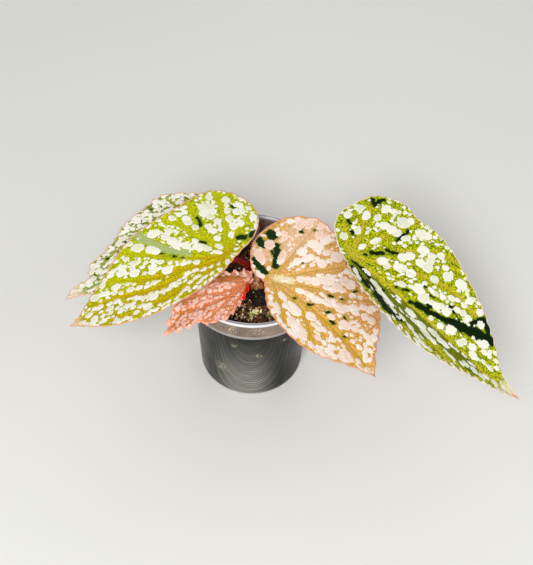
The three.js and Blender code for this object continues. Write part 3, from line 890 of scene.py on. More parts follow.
def blade_markings(leaf, flat, loop):
    """What the finish needs at each point of the flat blade, in mm."""
    mains = [curved(line) for line in leaf["veins"]]
    sides = side_veins(mains)
    spots = throw_spots(leaf, loop, mains, sides)
    field, seam, shade = np.zeros((3, len(flat)))
    for part in np.array_split(np.arange(len(flat)), 12):
        depth = spots[None, :, 2] - ray_distance(flat[part], spots)
        best = depth.argmax(axis=1)
        field[part] = depth[np.arange(len(part)), best]
        seam[part] = field[part] - np.partition(depth, -2, axis=1)[:, -2]
        shade[part] = spots[best, 3]
    across_u, across_v, start = leaf["zone"]
    marks = {
        "vein": off_lines(flat, mains),
        "side_vein": off_lines(flat, sides),
        "spot": field - np.where(flat[:, 1] > 0, *leaf["thin"]),
        "seam": seam,
        "shade": shade,
        "margin": off_lines(flat, [[*loop, loop[0]]]),
        "zone": flat @ np.array([across_u, across_v]) - start,
        "tip": flat[:, 0] - leaf["tip_from"] * leaf["length"],
    }
    for word in ("dark", "wash", "flush", "stain"):
        if word in leaf:
            marks[word] = off_patches(flat, leaf[word])
    return marks


def blade_mesh(leaf):
    loop = margin_loop(leaf)
    count = len(loop)

    def rings_of(number):
        shares = (np.arange(1, number + 1) / number) ** RING_EASE
        return np.vstack([np.zeros((1, 2))] + [loop * share for share in shares])

    top, under = rings_of(TOP_RINGS), rings_of(UNDER_RINGS)
    flat = np.vstack([top, under])
    marks = blade_markings(leaf, flat, loop)
    u, v = flat.T
    points = blade_points(leaf, u, v)
    normals = blade_normals(leaf, u, v)
    rib = RIB * np.exp(-(marks["vein"] / RIB_WIDTH) ** 2)
    rib = rib + SIDE_RIB * np.exp(-(marks["side_vein"] / SIDE_RIB_WIDTH) ** 2)
    swell = SPOT_SWELL * np.clip(marks["spot"] / SWELL_RUN, 0, 1)
    edge = np.clip(marks["margin"] / MARGIN_RUN, 0, 1)
    ripple = np.sin(2 * np.pi * leaf["frills"] * np.arange(count) / count)
    ripple = np.concatenate([[0], np.tile(ripple, TOP_RINGS), [0], np.tile(ripple, UNDER_RINGS)])
    curl = leaf["frill"] * ripple * np.clip(1 - marks["margin"] / FRILL_REACH, 0, 1) ** 2
    drop = curl - rib * edge - SKIN_DROP + swell * edge
    skin = BLADE_THICK * (MARGIN_SHARE + (1 - MARGIN_SHARE) * edge) + SKIN_DROP + RIB_BELOW * rib * edge
    drop[len(top):] = (curl - skin)[len(top):]
    points = points + normals * drop[:, None]

    def fan(first, number, flip):
        faces = []
        for i in range(count):
            after = (i + 1) % count
            corner = [first, first + 1 + i, first + 1 + after]
            faces.append(corner[::-1] if flip else corner)
            for ring in range(number - 1):
                a = first + 1 + ring * count
                quad = [a + i, a + count + i, a + count + after, a + after]
                faces.append(quad[::-1] if flip else quad)
        return faces

    upper = fan(0, TOP_RINGS, True)
    lower = fan(len(top), UNDER_RINGS, False)
    top_edge, under_edge = len(top) - count, len(flat) - count
    turns = [(i, (i + 1) % count) for i in range(count)]
    rim = [[top_edge + i, top_edge + after, under_edge + after, under_edge + i] for i, after in turns]
    mesh = bpy.data.meshes.new(leaf["name"])
    mesh.from_pydata((points * MM).tolist(), [], upper + lower + rim)
    for word, values in marks.items():
        mesh.attributes.new(word, "FLOAT", "POINT").data.foreach_set("value", values.astype(np.float32))
    spread = np.column_stack([flat, np.zeros(len(flat))]).astype(np.float32)
    mesh.attributes.new("flat", "FLOAT_VECTOR", "POINT").data.foreach_set("vector", spread.ravel())
    sides_of = [0] * len(upper) + [1] * (len(lower) + len(rim))
    mesh.polygons.foreach_set("material_index", sides_of)
    mesh.shade_smooth()
    return mesh


def face_finish(leaf):
    """The upper side: ground, veins, patches, pale spots, tip, margin, then stains."""
    look = {word: paint(code) for word, code in leaf["look"].items()}
    finish = Finish(leaf["name"] + "_face", Roughness=0.45, Specular_IOR_Level=0.08)
    where = finish.attribute("flat", "Vector")
    words = ("vein", "side_vein", "spot", "seam", "shade", "margin", "zone", "tip")
    vein, side_vein, spot, seam, shade, margin, zone, tip = (finish.attribute(word) for word in words)

    def patched(under, word, tint, stray, outer, inner, share=1.0):
        """The colour with a tint where the leaf has patches of this word."""
        if word not in leaf:
            return under
        reach = finish.attribute(word) + stray
        return finish.mix(reach.fade(outer, inner) * share, under, look[tint])

    mottle = finish.noise(where, 0.45, 4.0, 0.6)
    fine = finish.noise(where, 1.1, 2.0)
    grain = finish.noise(where, 2.2, 3.0, 0.65)
    net = finish.cells(where, 0.5, "DISTANCE_TO_EDGE")
    speckle = finish.noise(where, 1.3, 2.0, 0.6)
    ragged = (mottle - 0.5) * 2.4
    ground = finish.mix((zone + ragged * 4).fade(-4, 4), look["ground"], look["ground_far"])
    ground = finish.mix(mottle.fade(0.45, 0.62) * 0.7, ground, look["mottle"])
    ground = finish.mix(net.fade(0.22, 0.05) * fine.fade(0.36, 0.52) * 0.9, ground, look["net"])
    band = finish.mix((zone + ragged * 4).fade(-4, 4), look["vein"], look["vein_far"])
    ground = finish.mix(side_vein.fade(0.8, 0.1) * 0.45, ground, band)
    ground = finish.mix((vein * leaf["band"]).fade(2.4, 0.4) * (0.3 + 0.6 * fine), ground, band)
    grainy = leaf["grainy"]
    ground = finish.mix(speckle.fade(0.52, 0.6) * grainy, ground, look["net"])
    ground = finish.mix(speckle.fade(0.46, 0.38) * grainy * 0.7, ground, look["mottle"])
    ground = patched(ground, "flush", "flush", ragged, 1.5, -1.5, 0.4)
    ground = finish.mix((vein + (fine - 0.5) * 0.9).fade(0.5, 0.2) * leaf["drawn"], ground, look["line"])
    ground = finish.mix(grain.fade(0.59, 0.64) * leaf["flecks"], ground, look["dark"])
    ground = patched(ground, "wash", "wash", ragged * 1.5 + (fine - 0.5) * 2, 0.9, -0.9, 0.85)
    ground = patched(ground, "dark", "shadow", ragged * 1.5, 1.7, 0.2, 0.55)
    ground = patched(ground, "dark", "dark", ragged * 1.5 + (grain - 0.5) * 1.6, 0.25, -0.1)
    broken = spot + (fine - 0.5) * 1.2 + (mottle - 0.5) * 1.3 + (grain - 0.5) * 0.3
    pale = finish.mix(shade.fade(0.35, 0.9), look["spot"], look["spot_tint"])
    pale = patched(pale, "flush", "flush", ragged, 1.5, -1.5)
    pale = finish.mix(seam.fade(0.3, 0.05) * 0.35, pale, look["ground"])
    pale = finish.mix(broken.fade(0.42, 0.18) * 0.55, pale, look["rim"])
    pale = finish.mix(grain.fade(0.45, 0.62) * broken.fade(0.3, 0.9) * 0.25, pale, look["ground"])
    soft = leaf["softness"]
    colour = finish.mix(broken.fade(-soft, soft) * 0.97, ground, pale)
    colour = finish.mix((tip + ragged * 2).fade(-3, 5) * 0.75, colour, look["tip"])
    colour = finish.mix(margin.fade(0.8, 0.25), colour, look["edge"])
    colour = patched(colour, "stain", "stain", ragged * 0.3, 0.5, -0.2)
    height = broken.fade(-0.2, 0.3) * 0.6 + net.fade(0.0, 0.15) * 0.4
    return finish.wear(colour, mottle.fade(0.3, 0.7, 0.55, 0.4), height, 0.00014)


def back_finish(leaf):
    """The underside: one dull colour, with paler ribs that stand out."""
    look = {word: paint(code) for word, code in leaf["look"].items()}
    finish = Finish(leaf["name"] + "_back", Roughness=0.5)
    where = finish.attribute("flat", "Vector")
    mottle = finish.noise(where, 0.4, 4.0, 0.6)
    colour = finish.mix(mottle.fade(0.35, 0.7), look["back"], look["back_tint"])
    colour = finish.mix(finish.attribute("spot").fade(-0.2, 0.4) * 0.35, colour, look["spot_tint"])
    ribs = finish.attribute("vein").fade(1.4, 0.3).most(finish.attribute("side_vein").fade(0.6, 0.1) * 0.6)
    colour = finish.mix(ribs * 0.7, colour, look["rib"])
    colour = finish.mix(finish.attribute("margin").fade(0.7, 0.3), colour, look["edge"])
    return finish.wear(colour, None, mottle, 0.0001)


def grow_leaf(leaf):
    mesh = blade_mesh(leaf)
    mesh.materials.append(face_finish(leaf))
    mesh.materials.append(back_finish(leaf))
    return piece_from(mesh, leaf["name"], [leaf["name"]])


# ------------------------------------------------------------------ front left leaf
# The largest leaf on the left, yellow-green with gold veins and chalk-white
# spots; a grey-green wedge lies across its upper half.
front_left = {
    "name": "leaf_front_left", "seed": 21, "bare": 1.7, "apart": 0.78,
    "stretch": (1.7, 1.15), "zone": (0, 1, -3),
    "base": [-12, -5.5, 90], "heading": -155, "dip": 11, "bank": 5, "length": 80,
    "arch": 5, "fold": [0.14, 0.1], "crease": 4, "bow": 5, "wave": 1.2, "waves": 5, "phase": 0.4,
    "tooth": 0.5,
    "margin": [
        (80.5, 1.5), (74, -1.5), (67.5, -6.5), (58, -13), (48.5, -20.5), (38, -27), (26.5, -30.5),
        (13.5, -34), (3, -38), (-6.5, -40), (-16, -36), (-22.5, -26), (-22, -16), (-15.5, -6),
        (-4, 3), (5, 10.5), (15, 16), (28, 20), (41, 21.5), (54, 19.5), (66, 14), (76, 5.5),
        (80.5, 1.5),
    ],
    "veins": [
        [(10, 4), (29, 6), (40, 6), (47, 4), (63, 0), (76, 1.5)],
        [(9, 0), (17, -4), (24, -7), (33, -13), (46, -22)],
        [(10, 3), (27, 1), (39, -1), (51, -7), (59, -12)],
        [(15, 10), (31, 14), (41, 15), (52, 15), (64, 12)],
        [(5, -10), (6, -17), (6, -26), (5, -35)],
        [(-1, -5), (-5, -13), (-8, -25), (-9, -37)],
        [(-3, -3), (-8, -10), (-16, -17)],
        [(7, -9), (13, -22), (19, -30)],
    ],
    "spot_sizes": [(2.2, 1.4, 700), (1.4, 0.9, 1300), (0.9, 0.6, 1000)], "clump": 5, "crowd": (0.8, 0.95),
    "frill": 0.25, "frills": 44, "softness": 0.1, "flecks": 0.25,
    "band": 1.1, "thin": (0.14, 0.14), "grainy": 0.6, "tip_from": 0.94, "drawn": 0.6,
    "rows": [
        (1.3, 3.2, 1.3, [(15, 0), (22, -2), (27, -5)]), (1.5, 3.7, 1.3, [(30, -7), (36, -10), (42, -13)]),
        (1.5, 4.2, 1.3, [(45, -17), (50, -18)]), (2.3, 7.3, 1.1, [(30, -1), (37, -3), (45, -8), (50, -12)]),
        (1.6, 4.2, 1.3, [(54, -12), (58, -12)]), (1.5, 4.7, 1.3, [(35, -6), (41, -9), (47, -13)]),
        (1.2, 2.7, 1.4, [(21, 5), (26, 7), (30, 8)]), (1.6, 4.0, 1.4, [(37, 3), (41, 3), (48, 0), (50, 1)]),
        (1.8, 4.2, 1.2, [(54, -5), (56, -1), (60, -5), (65, -5)]),
        (1.2, 2.8, 1.5, [(17, 9), (21, 10), (28, 16)]),
        (1.0, 3.3, 1.8, [(16, 11), (20, 15), (25, 17)]),
        (1.3, 3.3, 1.5, [(32, 10), (36, 10), (40, 8), (44, 9)]),
        (1.1, 4.0, 1.8, [(2, 6), (8, 5), (13, 6), (17, 5)]), (1.0, 4.0, 1.8, [(7, 10), (11, 10), (17, 12)]),
        (1.1, 3.5, 1.6, [(31, 18), (36, 18), (42, 19), (47, 19)]), (1.9, 5.0, 1.2, [(41, 11), (45, 15)]),
        (1.6, 4.4, 1.3, [(50, 9), (53, 9)]), (1.4, 4.0, 1.4, [(56, 3), (62, 2), (67, 0)]),
        (1.7, 5.5, 1.3, [(50, 15), (57, 15), (64, 12), (70, 8), (75, 4)]),
        (1.4, 4.4, 1.4, [(57, 10), (63, 7), (68, 7), (71, 1)]),
    ],
    "placed": [
        (-5, -36, 2.0, 1.1), (-12, -32, 2.2, 1.1), (-10, -25, 1.7, 1.4), (-17, -27, 1.7, 1.1),
        (0, -31, 2.5, 1.0), (-3, -30, 2.5, 1.0), (-3, -27, 2.5, 1.0), (1, -27, 2.5, 1.0),
        (-1, -24, 2.2, 1.0), (-3, -20, 1.9, 1.1), (10, -26, 2.2, 1.2), (10, -24, 2.2, 1.1),
        (16, -29, 1.8, 1.1), (12, -30, 1.6, 1.0), (8, -20, 1.9, 1.1), (2, -18, 1.9, 1.2),
        (1, -15, 1.9, 1.2), (1, -10, 1.7, 1.3), (2, -5, 1.6, 1.5), (11, -12, 1.6, 1.1),
        (16, -11, 2.4, 1.0), (23, -20, 2.4, 1.0), (21, -16, 2.6, 1.0), (20, -13, 2.4, 1.0),
        (28, -24, 2.4, 1.1), (26, -24, 2.1, 1.1), (37, -20, 2.6, 1.2), (32, -16, 2.4, 1.1),
        (30, -14, 2.1, 1.1), (11, -8, 2.4, 1.2), (8, -6, 2.1, 1.4), (4, -2, 1.3, 2.0),
        (-9, -20, 1.9, 1.3), (-14, -23, 2.2, 1.1), (-16, -23, 2.2, 1.0), (-9, -15, 2.2, 1.2),
        (-13, -16, 1.9, 1.2), (-6, -10, 1.6, 1.4), (-20, -24, 1.7, 1.0), (-20, -18, 1.9, 1.2),
    ],
    "dark": [
        (1.6, [(-9, -7), (-11, -7)]), (1.9, [(-15, -6), (-17, -8)]), (0.8, [(5, -25), (5, -20)]),
        # The last entry on the next line, a thin dark line beside the grey-green wedge, is painted shade
        # along a fold.
        (0.9, [(-13, -27), (-14, -25)]), (0.6, [(7, -9), (9, -11)]), (0.2, [(29, -12), (24, -8), (20, -5)]),
    ],
    "wash": [
        (2.3, [(34, -25.5), (31, -21)]), (1.9, [(30, -19), (26.5, -14)]), (1.8, [(25, -12), (17, -6.5)]),
    ],
    "clear": [(1.7, [(33, -24), (29, -18), (25, -11), (19, -6)]), (0.8, [(19, -6), (10, -3)])],
    "look": {
        "line": "b09400", "ground": "b4c000", "ground_far": "c4b400", "mottle": "dce000", "net": "808000",
        "vein": "c4cc10", "vein_far": "c8a000", "shadow": "7c9408", "dark": "0c2c06", "wash": "a4b478",
        "tip": "ecd0ba", "spot": "efede4", "spot_tint": "e2dfcb", "rim": "fffdf8", "edge": "e0a880",
        "back": "7c4a2c", "back_tint": "96653a", "rib": "b8894e",
    },
}
grow_leaf(front_left)

# ------------------------------------------------------------------ back left leaf
# Behind it, cream-white nearly all over, with pale green showing between the
# spots, small dark flecks and a scalloped pink margin.
back_left = {
    "name": "leaf_back_left", "seed": 22, "bare": 0.6, "apart": 0.72,
    "stretch": (1.3, 1.2), "zone": (1, 0, 50),
    "base": [-11.5, 9, 80], "heading": -160, "dip": 7, "bank": 2, "length": 84,
    "arch": 3, "fold": [0.12, 0.1], "crease": 4, "bow": 0, "wave": 1.2, "waves": 9, "phase": 1,
    "tooth": 0.8,
    "margin": [
        (82.5, 3), (79.5, -1), (74.5, -3), (70, -4), (67.5, -11.5), (60.5, -15.5), (52, -21),
        (47, -26), (40.5, -29.5), (32, -34), (23.5, -38), (12.5, -36), (3, -32), (-6, -26),
        (-12, -17), (-10, -7), (-4, 2), (4, 9), (16, 14.5), (30, 17), (44, 16.5), (58, 12.5),
        (71, 6), (78, 4), (82.5, 3),
    ],
    "veins": [
        [(20, 0), (45, 1), (66, 1), (78, 2.5)],
        [(14, -9), (30, -19), (44, -22)],
        [(14, -4), (34, -11), (50, -15), (62, -9)],
        [(8, -14), (17, -27), (21, -35)],
        [(2, -12), (4, -24), (3, -30)],
        [(12, 5), (28, 10), (46, 11)],
    ],
    "spot_sizes": [(2.2, 1.4, 1200), (1.4, 0.9, 2200), (0.9, 0.5, 1500)], "clump": 5, "crowd": (1.1, 1.1),
    "frill": 0.5, "frills": 36, "softness": 0.16, "flecks": 0.8,
    "band": 1.6, "thin": (0.1, 0.1), "grainy": 0.6, "tip_from": 0.88, "drawn": 0.5,
    "dark": [
        (0.5, [(48, -18), (47, -17)]), (0.45, [(58, -12), (59, -12)]), (0.5, [(38, -25), (37, -26)]),
        (0.4, [(66, -4), (66, -5)]), (0.5, [(30, -31), (31, -31)]), (0.4, [(53, -19), (53, -18)]),
    ],
    "wash": [(0.9, [(74, 0), (66, 1)]), (1.0, [(42, -19), (36, -22)])],
    "look": {
        "line": "8c8c30", "ground": "8e9c18", "ground_far": "b2ba44", "mottle": "bcc458", "net": "506408",
        "vein": "b4ae50", "vein_far": "c0b060", "shadow": "78882c", "dark": "14300c", "wash": "6cb020",
        "tip": "ecdcc4", "spot": "f4f1e6", "spot_tint": "e8dfd2", "rim": "fdf9f0", "edge": "e3b8a0",
        "back": "8a5a44", "back_tint": "a3755a", "rib": "c19b78",
    },
}
grow_leaf(back_left)

# ------------------------------------------------------------------ centre leaf
# Over the front of the pot: peach and gold, with pinkish white spots, long pink
# blotches and dark green patches in its left lobe.
centre = {
    "name": "leaf_centre", "seed": 23, "bare": 1.9, "apart": 0.76,
    "stretch": (1.3, 1.25), "zone": (0.3, -1, 5),
    "base": [9.5, -17, 84], "heading": -37, "dip": 18, "bank": -6, "length": 66,
    "arch": 4, "fold": [0.12, 0.16], "crease": 4, "bow": 1.5, "wave": 1, "waves": 5, "phase": 0,
    "tooth": 0.5,
    "margin": [
        (65.5, -1.5), (53.5, -8.5), (42, -16.5), (35.5, -19.5), (27.5, -21), (15, -19), (7, -14.5),
        (1, -7.5), (-3, -3), (-9, -2), (-15, 3.5), (-20.5, 13), (-21.5, 24), (-17.5, 36.5),
        (-6, 43.5), (5.5, 41.5), (16, 36), (27, 31), (37, 28), (45.5, 25), (52.5, 17), (57.5, 8.5),
        (65.5, -1.5),
    ],
    "veins": [
        [(4, 1), (9, 2), (17, 1), (26, 1), (40, 0), (62, -1)],
        [(6, -4), (14, -12), (18, -16)],
        [(11, -1), (22, -4), (29, -10), (36, -15)],
        [(12, 8), (22, 14), (31, 20), (42, 26)],
        [(5, 9), (10, 17), (17, 26), (20, 32)],
        [(-1, 7), (-2, 16), (-3, 25), (-4, 40)],
        [(-3, 7), (-7, 14), (-11, 22), (-14, 33)],
    ],
    "spot_sizes": [(2.8, 1.6, 500), (1.6, 1.0, 900), (1.0, 0.6, 900)], "clump": 6, "crowd": (0.6, 0.6),
    "frill": 0.3, "frills": 40, "softness": 0.13, "flecks": 0.7,
    "band": 1.0, "thin": (0.17, 0.12), "grainy": 0.4, "tip_from": 0.95, "drawn": 0.5,
    "rows": [
        (1.7, 4.1, 1.3, [(13, 4), (18, 7)]),
        (1.9, 4.5, 1.3, [(22, 7), (26, 9), (33, 12), (37, 17), (43, 23)]),
        (1.5, 4.1, 1.3, [(32, 21), (37, 24)]), (2.0, 4.5, 1.2, [(39, 14), (44, 17), (48, 18)]),
        (1.6, 4.3, 1.3, [(25, -3), (29, -6), (32, -5)]), (1.7, 3.9, 1.2, [(43, 8), (48, 10), (52, 9)]),
        (1.5, 3.7, 1.2, [(33, -4), (38, -3)]), (1.7, 4.3, 1.2, [(34, -10), (38, -10), (41, -8), (42, -11)]),
        (1.2, 3.6, 1.3, [(42, -2), (46, -3)]), (1.6, 3.7, 1.2, [(31, -18), (35, -16), (39, -14)]),
        (1.4, 3.5, 1.3, [(47, 3), (52, 4), (56, 6)]),
        (1.7, 4.2, 1.2, [(45, -11), (49, -7), (55, -3), (57, 1)]),
        (1.7, 4.2, 1.2, [(58, -5), (62, -1)]), (2.4, 4.4, 1.2, [(14, -7), (19, -7)]),
        (2.4, 4.3, 1.2, [(20, -13), (24, -13), (28, -15)]),
        (1.6, 3.8, 1.3, [(16, -17), (21, -19), (26, -19)]),
        (1.4, 3.8, 1.2, [(5, -9), (7, -12)]), (1.5, 3.8, 1.2, [(-13, 27), (-11, 24)]),
        (1.6, 3.8, 1.2, [(-16, 34), (-12, 38), (-8, 41)]), (1.7, 4.3, 1.2, [(-2, 41), (2, 42)]),
        (1.6, 3.6, 1.2, [(13, 27), (12, 22)]), (1.7, 4.1, 1.2, [(20, 15), (26, 18), (29, 26)]),
    ],
    "placed": [
        (-14, 17, 2.7, 1.1), (-13, 8, 2.2, 2.4), (-5, 14, 1.9, 2.6), (-11, 22, 1.1, 1.0),
        (9, -4, 1.9, 1.7), (11, -12, 1.9, 2.0), (17, -6, 3.3, 1.3), (24, -14, 3.2, 1.3),
        (27, -14, 2.7, 1.1), (4, 30, 2.9, 1.1), (4, 36, 2.9, 1.1), (1, 30, 2.6, 1.2), (0, 23, 2.6, 1.1),
        (4, 21, 2.3, 1.1), (2, 17, 2.1, 1.3), (5, 23, 2.1, 1.0), (11, 24, 2.6, 1.0), (14, 32, 3.1, 1.1),
        (9, 10, 2.0, 1.0), (12, 12, 2.3, 1.0), (15, 14, 2.6, 1.1), (17, 17, 2.6, 1.1),
        (19, 20, 2.8, 1.0), (24, 19, 2.8, 1.0), (25, 24, 2.6, 1.1), (28, 25, 2.6, 1.0),
        (4, 5, 1.4, 2.2), (17, 6, 1.8, 1.3), (21, 6, 2.0, 1.6), (26, 9, 2.3, 1.5), (32, 11, 2.5, 1.4),
        (39, 6, 2.5, 1.3), (25, -3, 2.4, 1.2), (49, -6, 3.1, 1.2), (-10, 35, 2.1, 1.6),
        (-7, 38, 1.9, 1.8),
    ],
    "dark": [
        (2.1, [(-18, 23), (-15.5, 21.5)]), (2.1, [(-19.5, 16), (-16.5, 15)]),
        (1.5, [(-11, 18.5), (-7, 13), (-4, 8)]),
        (1.7, [(-13.5, 5.5), (-9.5, 3), (-5.5, 2)]), (0.9, [(-8.5, 33.5), (-7.5, 32.5)]),
        (0.4, [(-3.5, 37.5), (-3, 37)]), (0.5, [(4.5, 20), (4.5, 18)]), (0.6, [(13, -0.5), (13.4, -0.5)]),
        (0.6, [(20, 1.5), (22, 3.5)]), (0.6, [(24.5, 9), (25, 9)]), (0.6, [(24.5, 12.5), (26, 13.5)]),
        (0.4, [(29.5, 15), (31, 16.5)]), (0.5, [(31, 22.5), (32, 24)]), (0.6, [(28.5, 4), (30, 6)]),
        (0.6, [(36.5, 9), (37, 9)]), (0.7, [(33, 2.5), (34.5, 2.5)]), (0.5, [(42, 1), (42.5, 1.5)]),
        (0.7, [(-11, 14.5), (-9.5, 13.5)]),
    ],
    "wash": [(1.9, [(0.5, 3), (6, 6)])],
    "flush": [(6.0, [(-16, 8), (-8, 18), (-8, 34), (-3, 38)])],
    "look": {
        "line": "a08820", "ground": "e6b06a", "ground_far": "e4b240", "mottle": "f4c898", "net": "c08c38",
        "vein": "e2b060", "vein_far": "dcac30", "shadow": "9c9028", "dark": "0e2c02", "wash": "e8dcae",
        "tip": "f4d4c0", "spot": "f4ebe2", "spot_tint": "efdcd0",
        "flush": "eeccba", "rim": "fff8f2", "edge": "e59a80", "back": "9c4f40", "back_tint": "b06a54",
        "rib": "cf9a78",
    },
}
grow_leaf(centre)

